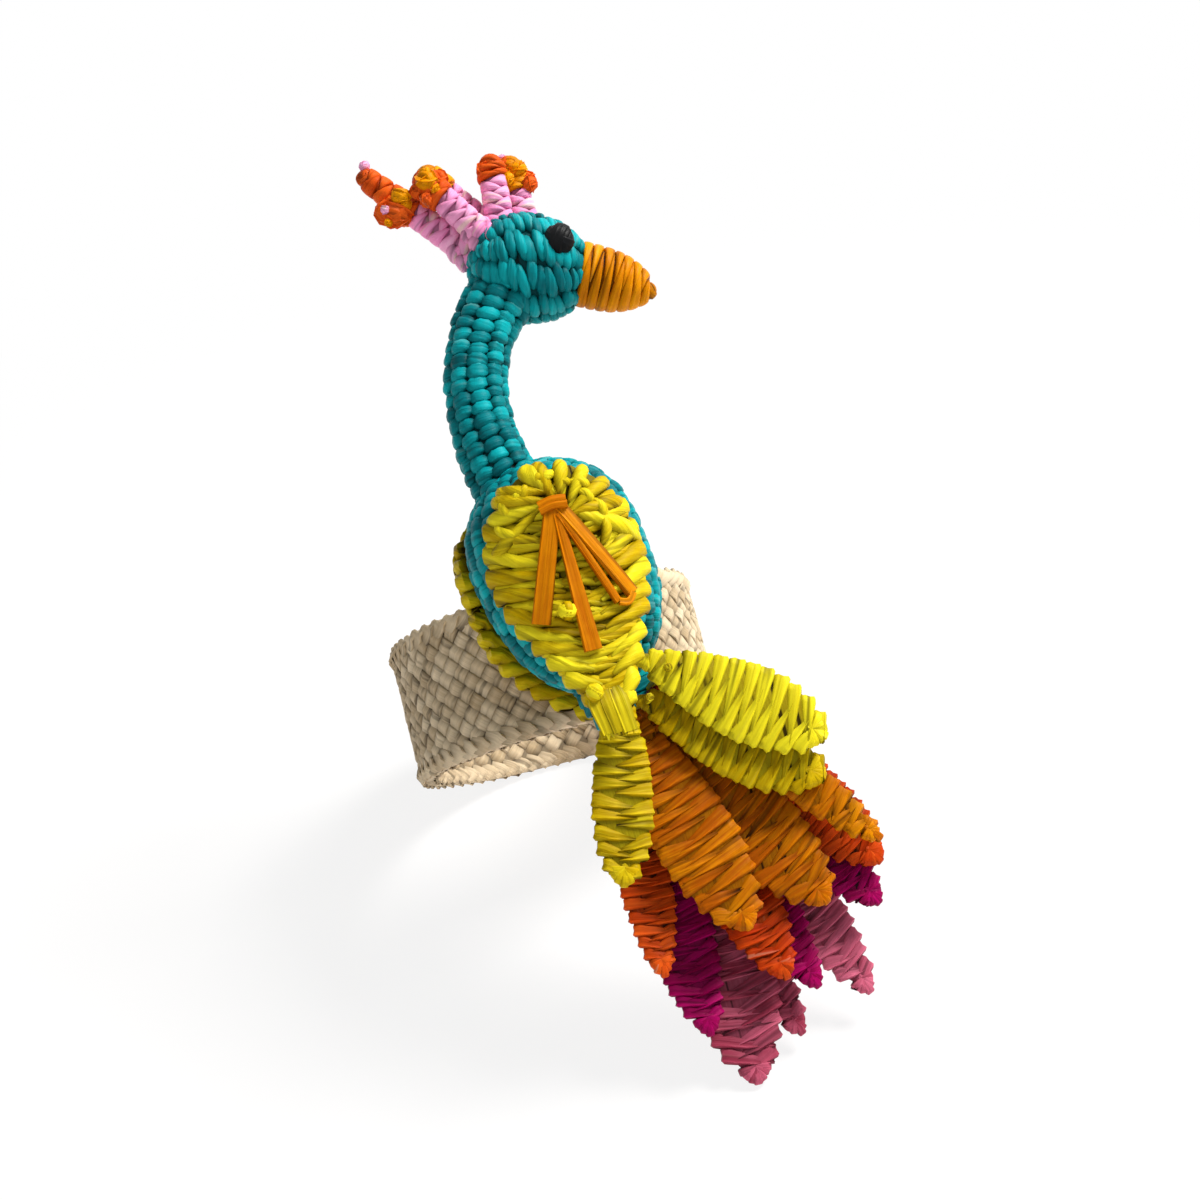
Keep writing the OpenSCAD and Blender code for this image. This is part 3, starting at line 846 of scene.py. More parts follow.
@dataclass
class WoundLeaf:
    """Leaf-shaped plate that straw is wound on from both edges, so that the wraps mesh like teeth."""

    sheet: FlatSheet | RoundSheet
    length: float
    half_width: float
    skew: float
    full: tuple[float, float]
    rows: int
    front: float
    straw: float
    drop: float = 0.14
    reach: float = 0.78
    lump: float = 0.12
    fold: float = 1.1
    twist: float = 0.0
    tile: float = math.radians(4)
    start: float = 0.04
    stop: float = 0.945
    bias: float = 0.0
    taper: tuple[float, ...] = (0.16, 0.42, 0.72, 1.0)

    def half(self, t: float) -> float:
        """Returns half the leaf's width at a share of its length, by its fullness towards either end."""
        turn = math.pi * min(t, 1.0) ** self.skew
        return self.half_width * max(0.0, math.sin(turn)) ** self.full[turn > math.pi / 2]

    def _wrap(self, work: StrawWork, form: StrawForm, s: float, side: int, pitch: float) -> None:
        """Lays one wrap: from a point across the front, broad round one edge, to a point across the back."""
        hw = self.half(s / self.length)
        steep = 1 + 2.5 * max(0.0, s / self.length - 0.72) / 0.28
        drop = self.drop * hw * steep * (1 + work.wander(0.4))
        edge = hw + self.lump + work.wander(0.12)
        far = max(side * self.bias - self.reach, -0.8) * hw * (1 + work.wander(0.12))
        shoulder = max(edge - 0.45, 0.5 * edge)
        fronts = (far + (shoulder - far) * np.array([0.0, 0.24, 0.54, 0.8, 1.0])).tolist()
        u = side * np.array(fronts + [edge] + fronts[::-1])
        falls = [1.5, 1.1, 0.8, 0.35, 0.05]
        fall = np.array(falls + [0.0] + falls[::-1]) * drop
        lean = np.linspace(-1, 1, 11) * work.wander(0.16) * pitch
        highs = np.array([0.66, 0.84, 0.96, 1.0, 0.9]) * self.front * (1 + work.wander(0.05))
        h = np.concatenate([highs, [0.0], -highs[::-1]])
        face = side * np.radians([0, 0, 0, 4, 32, 90, 148, 176, 180, 180, 180])
        down = np.clip(s + fall + lean, 0, self.length)
        room = np.array([self.half(place / self.length) for place in down]) + self.lump + 0.15
        points, across, out, along = self.sheet.spot(np.clip(u, -room, room), down, h)
        ups = out * np.cos(face)[:, None] + across * np.sin(face)[:, None]
        ups = ups * math.cos(self.tile) - along * math.sin(self.tile)
        widths = [*self.taper, 0.5 * (self.taper[-1] + self.fold)]
        width = pitch * np.array(widths + [self.fold] + widths[::-1]) * (1.0 + work.wander(0.1))
        # Painted shade at the wrap's two ends, where they dive under the next wraps.
        tucks = [0.55, 0.22, 0, 0, 0]
        tuck = np.array(tucks + [0] + tucks[::-1])
        thick = self.straw * (1 + work.wander(0.15))
        work.lay(form, points[::side], ups[::side], width, thick, tuck, self.twist)

    def wrap(self, work: StrawWork, form: StrawForm) -> None:
        """Winds the whole leaf, one wrap from each edge in turn."""
        pitch = (self.stop - self.start) * self.length / self.rows
        for row in range(self.rows):
            for side in (-1, 1):
                step = (row + 0.25 * (1 + side) + 0.2) * pitch
                s = self.start * self.length + step + work.wander(0.1 * pitch)
                self._wrap(work, form, s, side, pitch)

    def holds(self, u: float, s: float) -> bool:
        """Tells whether a place across and along lies on the leaf."""
        return s < self.length and self.half(s / self.length) > abs(u)

    def cap(self, work: StrawWork, form: StrawForm, thick: float) -> None:
        """Folds short straws over the leaf's tip, fanned out from a point on its middle line.

        Args:
            work: The straw work that takes the straws.
            form: The modelled wrap.
            thick: How thick the straws are.
        """
        hub = self.length - max(2.6, 0.45 * self.half(0.9))
        for angle in np.radians([-78, 78, -52, 52, -26, 26, 0]):
            turn = angle + work.wander(0.08)
            side, rise = math.sin(turn), math.cos(turn)
            reach = 0.4
            while self.holds(reach * side, hub + reach * rise):
                reach += 0.05
            out = reach * np.array([-0.25, 0.2, 0.55, 0.82, 0.91, 0.82, 0.55, 0.2, -0.25])
            face = np.radians([0, 0, 5, 38, 90, 142, 175, 180, 180])
            h = self.front * np.array([0.9, 1.2, 1.25, 0.9, 0.0, -0.9, -1.25, -1.2, -0.9])
            points, across, front, along = self.sheet.spot(out * side, hub + out * rise, h)
            radial = across * side + along * rise
            ups = front * np.cos(face)[:, None] + radial * np.sin(face)[:, None]
            spread = 0.62 + 0.15 * reach + work.wander(0.08)
            width = np.array([0.35, 0.7, 1.05, 1.15, 1.1, 1.15, 1.05, 0.7, 0.35]) * spread
            # Painted shade at each straw's ends, where they tuck under.
            work.lay(form, points, ups, width, thick, np.array([0.4, 0.1, 0, 0, 0, 0, 0, 0.1, 0.4]))

    def base(self, work: StrawWork, tuck: float = 0.85, rings: int = 18) -> None:
        """Adds the plate under the wraps, with painted shade where it shows between them."""
        u = np.array([1.0, 0.8, 0.0, -0.8, -1.0, -0.8, 0.0, 0.8])
        h = np.array([0.0, 0.75, 0.85, 0.75, 0.0, -0.75, -0.85, -0.75]) * self.front
        loops = []
        for t in np.linspace(0.02, 0.965, rings):
            hw = max(self.half(t) - 0.25 - 6.0 * max(0.0, t - 0.86), 0.2)
            loops.append(self.sheet.spot(u * hw, np.full(8, t * self.length), h)[0])
        work.line(np.stack(loops), tuck)


@dataclass
class Workshop:
    """What every sub-assembly needs: the stance, the forms, the materials and the pieces made so far."""

    stance: Stance
    forms: FormBench
    materials: dict[str, bpy.types.Material]
    pieces: list[bpy.types.Object] = field(default_factory=list)

    def hand_in(self, work: StrawWork, nodes: Sequence[str], body: str = ROOT_BODY) -> bpy.types.Object:
        """Makes a piece of work into an object that stands for CAD nodes and rides on a body.

        Args:
            work: The laid straw.
            nodes: The CAD nodes that it stands for.
            body: The body that it rides on.

        Returns:
            The finished piece.
        """
        piece = work.make(self.stance)
        piece.data.materials.append(self.materials[work.finish.slot])
        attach(piece, body)
        if nodes:
            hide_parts(*nodes)
        self.pieces.append(piece)
        LOG.info("%s: %d faces on %s", piece.name, len(piece.data.polygons), body)
        return piece


@dataclass
class NapkinRing:
    """Ring that is plaited on the bias inside and out, with its strips folded over both rims."""

    band_cells: int = 48
    lining_cells: int = 40
    plait_height: float = 0.85
    rim_fold: float = 1.75
    rim_strips: int = 62
    rim_width: float = 3.1
    rim_lean: tuple[float, ...] = (-1.0, -0.4, -0.08, 0.0, 0.08, 0.4, 1.0)
    rim_thick: float = 0.45
    tube_sides: int = 64
    sewn_side: float = 4.0
    sewn_rise: float = 0.24
    sewn_depth: tuple[float, float] = (8.0, 17.4)
    sewn_size: tuple[float, float] = (1.4, 0.8)

    def _cells(self, work: StrawWork, form: StrawForm, radius: float, facing: int, count: int) -> None:
        """Lays the plait's cells on one side of the wall.

        Args:
            work: The straw work that takes the cells.
            form: The modelled square of plait.
            radius: The wall's radius.
            facing: 1 for the outside, -1 for the inside.
            count: How many cells go round the wall.
        """
        half = math.pi * radius / count
        cell = half * math.sqrt(2)
        rows = int((RING_WIDTH / 2 - 0.6) / half - 1.1)
        for row in range(-rows, rows + 1):
            for place in range(2 * count):
                if (row + place) % 2:
                    continue
                z = row * half
                slope = 1 if place % 2 else -1
                o = np.linspace(-0.5, 0.5, 3) * cell * 1.2 / math.sqrt(2)
                turn = (place * half + o) / radius
                lift = self.plait_height * np.array([-0.7, 0.1, -0.7]) + work.wander(0.08)
                out = np.stack([np.cos(turn), np.sin(turn), np.zeros(3)], axis=1)
                route = out * (radius + facing * lift)[:, None]
                route[:, 2] = z + slope * o
                width = cell * (0.98 + work.wander(0.04))
                # Painted shade at the cell's ends, where they pass under the next cells.
                tuck = np.array([0.75, 0, 0.75])
                work.lay(form, route + RING_CENTRE, facing * out, width, self.plait_height, tuck)

    def _tube(self, work: StrawWork, inner: float, outer: float, low: float, high: float) -> None:
        """Adds the thin wall between the two sides of the plait, with painted shade where it shows between
        the cells.
        """
        corners = ((inner, low), (outer, low), (outer, high), (inner, high))
        m, n = len(corners), self.tube_sides
        turn = np.arange(n) * 2 * math.pi / n
        loops = []
        for r, z in corners:
            ring = np.stack([r * np.cos(turn), r * np.sin(turn), np.full(n, z)], axis=1)
            loops.append(ring + RING_CENTRE)
        quads = [
            (i * n + k, i * n + (k + 1) % n, ((i + 1) % m) * n + (k + 1) % n, ((i + 1) % m) * n + k)
            for i in range(m)
            for k in range(n)
        ]
        points = np.concatenate(loops)
        uv = points[:, :2]
        work.gather(points, quads, uv, np.full(m * n, 0.5), np.full(m * n, 0.7))

    def _rim(self, work: StrawWork, form: StrawForm, up: int) -> None:
        """Folds strips over one rim, each leaning on the next."""
        edge = RING_WIDTH / 2
        step = 2 * math.pi / self.rim_strips
        for place in range(self.rim_strips):
            fold = self.rim_fold * (1 + work.wander(0.12))
            lean = np.array(self.rim_lean) * step
            turn = place * step + lean + work.wander(0.06) * step
            steps = np.array([-0.3, 0.0, -0.1, -1.4, -2.7, -2.8, -2.5])
            r = RING_BAND_R + steps
            z = up * (edge - fold * np.array([1.05, 0.6, 0.16, 0.06, 0.16, 0.6, 1.05]))
            face = np.radians([0, 0, 40, 90, 140, 180, 180])
            out = np.stack([np.cos(turn), np.sin(turn), np.zeros(7)], axis=1)
            route = out * r[:, None]
            route[:, 2] = z
            ups = out * np.cos(face)[:, None]
            ups[:, 2] = up * np.sin(face)
            # Painted shade at the strip's two ends, where they tuck under.
            tuck = np.array([0.5, 0.1, 0, 0, 0, 0.1, 0.5])
            width = self.rim_width * np.array([0.9, 1.0, 1.0, 1.0, 1.0, 1.0, 0.9])
            work.lay(form, route + RING_CENTRE, ups, width, self.rim_thick, tuck)

    def build(self, shop: Workshop) -> None:
        """Builds the ring's pieces."""
        cell, ribbon = shop.forms[FormKind.CELL], shop.forms[FormKind.RIBBON]
        edge = RING_WIDTH / 2
        band = StrawWork("ring_band_plait", CREAM, 11, (0.1, 0.9), 0.7)
        self._tube(band, RING_BORE_R + 1.6, RING_BAND_R - 0.5, 1.0 - edge, edge - 1.0)
        self._cells(band, cell, RING_BAND_R - 0.4, 1, self.band_cells)
        shop.hand_in(band, ["ring_band"])
        lining = StrawWork("ring_lining_plait", CREAM, 12, (0.1, 0.9), 0.7)
        self._tube(lining, RING_BORE_R + 0.5, RING_BORE_R + 1.5, 1.0 - edge, edge - 1.0)
        self._cells(lining, cell, RING_BORE_R + 0.4, -1, self.lining_cells)
        shop.hand_in(lining, ["ring_lining"])
        for name, up in (("upper", 1), ("lower", -1)):
            rim = StrawWork(f"ring_{name}_rim_folds", CREAM, 14 + up, (0.2, 0.8), 0.12)
            self._rim(rim, ribbon, up)
            shop.hand_in(rim, [f"ring_{name}_rim"])
        sewing = StrawWork("ring_sewing", TEAL, 16)
        for x in (-1, 1):
            for z in (-1, 1):
                side = RING_CENTRE[0] + self.sewn_side * x
                height = RING_CENTRE[2] + self.sewn_rise * RING_WIDTH * z
                route = np.array([[side, y, height] for y in np.linspace(*self.sewn_depth, 5)])
                for turn in (0.0, math.pi / 2):
                    up = np.tile([math.cos(turn), 0.0, math.sin(turn)], (5, 1))
                    sewing.lay(ribbon, route, up, *self.sewn_size)
        shop.hand_in(sewing, ["ring_stitches"])


@dataclass
class Bird:
    """Stuffed body, neck and head, sewn over with columns of plump stitches."""

    body_radius: float = 13.3
    body_up: float = 14.0
    neck_foot: tuple[float, float] = (-4.2, 8.96)
    neck_top: tuple[float, float] = (4.0, 43.5)
    neck_low_pull: tuple[float, float] = (-3.3, 13.0)
    neck_high_pull: tuple[float, float] = (-11.0, -9.0)
    neck_radius: tuple[float, float] = (5.6, 4.8)
    head_centre: tuple[float, float, float] = HEAD_CENTRE
    head_nod: float = math.radians(17)
    head_radius: float = 8.5
    head_front: float = 10.2
    head_back: float = 9.2
    body_full: tuple[float, float] = (2.2, 2.6)
    head_full: tuple[float, float] = (2.2, 2.2)
    beak_drop: float = math.radians(27)
    beak_length: float = 11.2
    beak_radius: float = 4.7
    beak_tip_radius: float = 1.8
    beak_full: float = 3.4
    beak_start: float = 0.82
    beak_turns: int = 7
    beak_straw: float = 0.9
    beak_knot: float = 1.5
    eye_step: tuple[float, float, float] = (4.4, 1.7, 7.4)
    eye_size: float = 2.55
    body_sewing: Sewing = Sewing(22, 2.1, 1.6, 0.14, 0.06)
    neck_sewing: Sewing = Sewing(9, 1.95, 1.6, 0.2, 0.05)
    head_sewing: Sewing = Sewing(10, 1.5, 1.6, 0.3, 0.16)

    def body_skin(self) -> Lathe:
        """Returns the body's surface."""
        way = (-math.sin(BODY_TILT), 0.0, math.cos(BODY_TILT))
        return egg((0, 0, 0), way, self.body_radius, self.body_up, BODY_DOWN, self.body_full)

    def neck_skin(self) -> Lathe:
        """Returns the neck's surface along its bowed middle line."""
        foot, top = np.array(self.neck_foot), np.array(self.neck_top)
        pulls = [foot, foot + self.neck_low_pull, top + self.neck_high_pull, top]
        t = np.linspace(0, 1, 60)[:, None]
        u = 1 - t
        flat = u**3 * pulls[0] + 3 * t * u**2 * pulls[1] + 3 * t**2 * u * pulls[2] + t**3 * pulls[3]
        centres = np.stack([flat[:, 0], np.zeros(60), flat[:, 1]], axis=1)
        foot_r, mid_r = self.neck_radius
        radii = mid_r + (foot_r - mid_r) * (2 * t[:, 0] - 1) ** 2
        return Lathe(centres, radii, (0, -1, 0))

    def head_skin(self) -> Lathe:
        """Returns the head's surface, from its back to the beak."""
        way = (math.cos(self.head_nod), 0.0, -math.sin(self.head_nod))
        return egg(self.head_centre, way, self.head_radius, self.head_front, self.head_back, self.head_full)

    def beak_skin(self) -> Lathe:
        """Returns the beak's surface, from inside the head to its blunt tip."""
        nod, drop = self.head_nod, self.beak_drop
        ahead = np.array([math.cos(nod), 0, -math.sin(nod)])
        start = np.array(self.head_centre) + self.beak_start * self.head_front * ahead
        way = np.array([math.cos(drop), 0.0, -math.sin(drop)])
        t = np.linspace(0, 1, 30)
        radii = self.beak_tip_radius + (self.beak_radius - self.beak_tip_radius) * (1 - t**self.beak_full)
        return Lathe(start + np.outer(t * (self.beak_length + 0.1), way), radii, (0, -1, 0))

    def eye_place(self, side: int) -> Array:
        """Returns the middle of an eye: -1 for the near one, 1 for the far one."""
        nod = self.head_nod
        fwd, up, out = self.eye_step
        x = fwd * math.cos(nod) + up * math.sin(nod)
        z = up * math.cos(nod) - fwd * math.sin(nod)
        return np.array(self.head_centre) + [x, side * out, z]

    def build(self, shop: Workshop) -> None:
        """Builds the stuffed pieces, the beak and the eyes."""
        bead, loop = shop.forms[FormKind.BEAD], shop.forms[FormKind.LOOP]
        for name, skin, sewing, seed in (
            ("body_skin", self.body_skin(), self.body_sewing, 21),
            ("neck_skin", self.neck_skin(), self.neck_sewing, 22),
            ("head_skin", self.head_skin(), self.head_sewing, 23),
        ):
            work = StrawWork(name.replace("_skin", "_stitches"), TEAL, seed)
            # The skin under the stitches carries painted shade where it shows between them.
            work.line(skin.rings(0.95, 24, 28), 0.95)
            stitch(work, bead, skin, sewing)
            piece = shop.hand_in(work, [name])
        beak = StrawWork("beak_winding", AMBER, 24, (0.35, 0.95))
        beak.line(self.beak_skin().rings(0.3, 12, 16))
        interlock(beak, loop, self.beak_skin(), self.beak_turns, self.beak_straw)
        # Painted shade on the knot at the beak's tip.
        knot(beak, loop, self.beak_skin().centres[-1], self.beak_knot, 5, 1.0, tuck=0.45)
        shop.hand_in(beak, ["beak_wrap"])
        for name, side in (("near_eye", -1), ("far_eye", 1)):
            eye = StrawWork(f"{name}_knot", BLACK, 25 + side)
            knot(eye, loop, self.eye_place(side), self.eye_size, 7, 0.75)
            shop.hand_in(eye, [name])


@dataclass(frozen=True)
class CrestStem:
    """One crest stem, measured from the head's middle: depth, foot, end, its tip's length and end radius."""

    depth: float
    foot: tuple[float, float]
    end: tuple[float, float]
    tip_length: float
    tip_radius: float
    tip: StrawFinish


@dataclass(frozen=True)
class CrestKnot:
    """One knot on a crest stem's end: the stem, its straw, its place from the head's middle and its size."""

    stem: int
    straw: StrawFinish
    place: tuple[float, float, float]
    size: float


@dataclass
class Crest:
    """Five pink wound stems that share a stitched base, with orange and amber knots at their ends."""

    head: tuple[float, float, float] = HEAD_CENTRE
    stem_radius: tuple[float, float] = (1.95, 1.75)
    stem_pitch: float = 1.9
    tip_pitch: float = 2.0
    straw: float = 0.9
    collared: tuple[int, ...] = (1, 2, 3)
    collar_radius: tuple[float, float] = (3.1, 2.4)
    collar_sewing: Sewing = Sewing(4, 1.8, 1.6, 0.35, 0.2)
    stems: tuple[CrestStem, ...] = (
        CrestStem(0.8, (-6, 2.5), (-14.9, 13.3), 9.0, 1.5, ORANGE),
        CrestStem(-2.6, (-4, 3), (-10.4, 13.1), 3.1, 2.0, ORANGE),
        CrestStem(2.0, (-1, 5.5), (-8.6, 16.1), 3.3, 2.1, AMBER),
        CrestStem(-1.6, (-2.6, 5.5), (-1.6, 15.3), 1.6, 1.9, ORANGE),
        CrestStem(1.2, (2.2, 5.5), (2.1, 13.9), 3.2, 2.3, AMBER),
    )
    knots: tuple[CrestKnot, ...] = (
        CrestKnot(1, ORANGE, (-17.6, -0.4, 12.9), 2.4),
        CrestKnot(1, ORANGE, (-19.0, 0.0, 13.8), 2.1),
        CrestKnot(1, ORANGE, (-17.6, 0.2, 15.2), 1.9),
        CrestKnot(1, AMBER, (-16.6, -2.2, 14.8), 1.6),
        CrestKnot(1, AMBER, (-16.2, -1.9, 13.6), 1.1),
        CrestKnot(1, AMBER, (-19.4, -1.3, 11.4), 0.7),
        CrestKnot(1, PINK, (-19.4, -1.7, 13.4), 0.8),
        CrestKnot(1, PINK, (-20.6, 0.8, 22.8), 0.9),
        CrestKnot(2, ORANGE, (-10.2, -2.6, 16.4), 1.6),
        CrestKnot(2, ORANGE, (-13.9, -3.0, 14.9), 1.4),
        CrestKnot(2, ORANGE, (-12.9, -3.4, 12.9), 1.3),
        CrestKnot(2, AMBER, (-12.4, -4.0, 15.6), 1.9),
        CrestKnot(2, AMBER, (-12.2, -4.2, 16.8), 1.2),
        CrestKnot(2, AMBER, (-11.2, -4.2, 13.8), 1.0),
        CrestKnot(4, ORANGE, (-2.4, -1.8, 16.8), 1.7),
        CrestKnot(4, ORANGE, (-1.0, -1.8, 16.0), 1.5),
        CrestKnot(5, ORANGE, (1.6, 0.8, 18.6), 1.7),
        CrestKnot(5, ORANGE, (4.1, 0.0, 14.2), 1.6),
        CrestKnot(5, ORANGE, (4.4, 0.4, 15.6), 1.3),
        CrestKnot(5, AMBER, (2.8, -0.8, 16.8), 1.6),
        CrestKnot(5, AMBER, (0.6, -1.7, 14.8), 1.3),
        CrestKnot(5, PINK, (1.2, 0.8, 20.0), 0.7),
    )

    def _tip(self, shop: Workshop, number: int, stem: CrestStem, end: Array, way: Array) -> None:
        """Builds one tip: a wound end with the knots that are tied on it."""
        loop, strap = shop.forms[FormKind.LOOP], shop.forms[FormKind.STRAP]
        t = np.linspace(0, 1, 12)
        foot_r = self.stem_radius[1] + 0.35
        radii = foot_r + (stem.tip_radius - foot_r) * t
        wound = Lathe(end + np.outer(t * (stem.tip_length + 0.4 * stem.tip_radius), way), radii, (0, -1, 0))
        tip = StrawWork(f"crest_tip_{number}_winding", stem.tip, 50 + number, (0.5, 1.0), 0.35)
        # Painted shade on the core between the wraps, and on the end knot.
        tip.line(wound.rings(0.3, 8, 12), 0.5)
        interlock(tip, loop, wound, max(2, round(stem.tip_length / self.tip_pitch)), self.straw, 0.6)
        knot(tip, loop, wound.centres[-1], stem.tip_radius * 0.95, 5, tuck=0.25)
        shop.hand_in(tip, [f"crest_tip_{number}"])
        for straw in (ORANGE, AMBER, PINK):
            tied = [k for k in self.knots if k.stem == number and k.straw is straw]
            if not tied:
                continue
            bows = StrawWork(f"crest_knots_{number}_{straw.slot}", straw, 60 + number, (0.65, 1.0), 0.35)
            for bow in tied:
                knot(bows, strap, np.array(self.head) + bow.place, bow.size, 5)
            shop.hand_in(bows, [])

    def build(self, shop: Workshop) -> None:
        """Builds the stems and their tips."""
        bead, loop = shop.forms[FormKind.BEAD], shop.forms[FormKind.LOOP]
        for number, stem in enumerate(self.stems, 1):
            foot = np.array(self.head) + [stem.foot[0], stem.depth, stem.foot[1]]
            end = np.array(self.head) + [stem.end[0], stem.depth, stem.end[1]]
            t = np.linspace(0, 1, 20)[:, None]
            spine = Lathe(foot + t * (end - foot), np.linspace(*self.stem_radius, 20), (0, -1, 0))
            work = StrawWork(f"crest_stem_{number}_winding", PINK, 40 + number, (0.2, 1.0), 0.3)
            # Painted shade on the core where it shows between the wraps.
            work.line(spine.rings(0.35, 8, 12), 0.6)
            interlock(work, loop, spine, max(3, round(spine.length / self.stem_pitch)), self.straw, 1.1)
            if number in self.collared:
                share = np.linspace(0.12, 0.5, 8)[:, None]
                radii = np.linspace(*self.collar_radius, 8)
                collar = Lathe(foot + share * (end - foot), radii, (0, -1, 0))
                stitch(work, bead, collar, self.collar_sewing)
            shop.hand_in(work, [f"crest_stem_{number}"])
            self._tip(shop, number, stem, end, unit(end - foot))


@dataclass(frozen=True)
class Strap:
    """One flat strap on the near wing: its step from the straps' top, its lower end, its widths at both."""

    step: tuple[float, float]
    end: tuple[float, float]
    widths: tuple[float, float]


@dataclass
class Wings:
    """Two wings sewn in rows from both edges, with amber straps and knots on the near one."""

    length: float = 40.5
    far_length: float = 37.0
    half_width: float = 10.6
    middle: float = -1.2
    top: float = 9.0
    radius: float = 14.6
    far_turn: float = math.radians(41)
    near_swing: float = math.radians(1.5)
    far_swing: float = math.radians(22)
    skew: float = 0.64
    full: tuple[float, float] = (0.65, 1.15)
    fan_hub: tuple[float, float] = (-0.4, 6.2)
    cord_pitch: float = 1.9
    knuckle_pitch: float = 3.6
    strap_top: tuple[float, float] = (-1.4, 2.2)
    straps: tuple[Strap, ...] = (
        Strap((-0.1, 0.0), (-6.5, -13.4), (2.4, 2.8)),
        Strap((0.3, -1.0), (-1.2, -18.9), (1.3, 2.6)),
        Strap((0.9, 0.0), (5.8, -12.0), (1.8, 2.2)),
        Strap((0.5, -1.0), (3.6, -13.0), (1.0, 1.2)),
    )
    strap_turn: tuple[float, float] = (4.9, -13.2)
    strap_lift: float = 1.75
    strap_thick: float = 0.7
    wrap_lift: float = 2.15
    turn_lift: float = 1.8
    knots: tuple[tuple[float, float], ...] = ((-3.0, -12.6), (-2.4, -24.6))
    knot_lift: float = 1.6
    knot_size: float = 1.3

    def _rows(self, sheet: RoundSheet, length: float, lump: float) -> tuple[WoundLeaf, WoundLeaf]:
        """Returns the thin cords of one wing's middle, and the knuckles that its edges are folded into."""
        shape = (sheet, length, self.half_width, self.skew, self.full)
        cords = WoundLeaf(
            *shape, round(length / self.cord_pitch), 0.6, 1.1, drop=0.24, reach=0.45, lump=0.0, fold=0.8,
            twist=0.4, start=0.12, stop=0.95, taper=(0.45, 0.75, 1.0, 1.05),
        )
        knuckles = WoundLeaf(
            *shape, round(length / self.knuckle_pitch), 0.85, 1.4, drop=0.3, reach=-0.2, lump=lump, fold=0.95,
            twist=0.4, start=0.15, stop=0.96, taper=(0.25, 0.42, 0.6, 0.8),
        )
        return cords, knuckles

    def _on(self, sheet: RoundSheet, places: Array, lift: float) -> tuple[Array, Array]:
        """Returns points on the near wing, from places given by side and height."""
        x, fall = places[:, 0] - self.middle, self.top - places[:, 1]
        cos, sin = math.cos(sheet.swing), math.sin(sheet.swing)
        points, _, out, _ = sheet.spot(x * cos - fall * sin, x * sin + fall * cos, np.full(len(places), lift))
        return points, out

    def _fan(self, work: StrawWork, form: StrawForm, leaf: WoundLeaf) -> None:
        """Lays plump cords that fan out from under the strap's wrap to the wing's rounded upper end."""
        step, hub = self.fan_hub
        for angle in np.radians(np.linspace(-115, 115, 11)):
            turn = angle + work.wander(0.16)
            side, rise = math.sin(turn), math.cos(turn)
            reach = 1.0
            while hub > reach * rise and leaf.holds(step + reach * side, hub - reach * rise):
                reach += 0.1
            out = np.array([0.15, 0.42, 0.7, 0.9, 1.03]) * (reach + work.wander(0.5))
            bend = (1.2 + work.wander(1.1)) * np.array([1, 0.6, 0.2, 0, 0])
            h = leaf.front + np.array([0.0, 0.5, 0.75, 0.25, -0.8]) + work.wander(0.2)
            u = step + out * side + bend * rise
            points, _, normal, _ = leaf.sheet.spot(u, np.maximum(hub - out * rise + bend * side, -0.2), h)
            width = np.array([1.0, 1.7, 2.3, 2.4, 2.0]) * (1 + work.wander(0.2))
            # Painted shade at the cord's ends, where they tuck under.
            work.lay(form, points, normal, width, 1.5, np.array([0.5, 0.1, 0, 0, 0.2]), twist=0.7)
            around = turn + np.linspace(-0.05, 0.42, 5)
            ring = reach * (0.58 + work.wander(0.08)) * np.array([0.9, 1.0, 1.08, 1.14, 1.18])
            h = leaf.front + np.array([0.3, 0.95, 1.1, 0.9, 0.2])
            u, s = step + ring * np.sin(around), hub - ring * np.cos(around)
            points, _, normal, _ = leaf.sheet.spot(u, s, h)
            width = np.array([0.8, 1.3, 1.5, 1.3, 0.8])
            # Painted shade at the cord's ends, where they tuck under.
            work.lay(form, points, normal, width, 1.0, np.array([0.4, 0, 0, 0, 0.4]), twist=0.7)

    def _fray(self, work: StrawWork, form: StrawForm, leaf: WoundLeaf) -> None:
        """Lays the broad loose ends that hang from the near wing's tip, and their split fibres."""
        for step in (-2.3, 0.5, -0.9):
            s = np.linspace(leaf.length - 7.0, leaf.length - 0.8 + work.wander(0.4), 5)
            u = step * np.array([1.0, 1.0, 0.98, 0.95, 0.94]) + 0.4 * np.linspace(0, 1, 5)
            h = leaf.front + np.array([0.3, 0.9, 1.0, 0.85, 0.6])
            points, _, normal, _ = leaf.sheet.spot(u, s, h)
            width = np.array([2.0, 2.5, 2.5, 2.3, 2.1])
            # Painted shade at the loose end's root.
            work.lay(form, points, normal, width, 0.5, np.array([0.4, 0, 0, 0, 0]))
        for step in np.linspace(-2.8, 1.5, 14):
            s = leaf.length + np.array([-1.6, -1.0, -0.4 + work.wander(0.5)])
            u = step + np.array([0.0, 0.0, work.wander(0.25)])
            points, _, normal, _ = leaf.sheet.spot(u, s, leaf.front + np.array([0.7, 0.65, 0.5]))
            work.lay(form, points, normal, np.array([0.4, 0.35, 0.2]), 0.2)

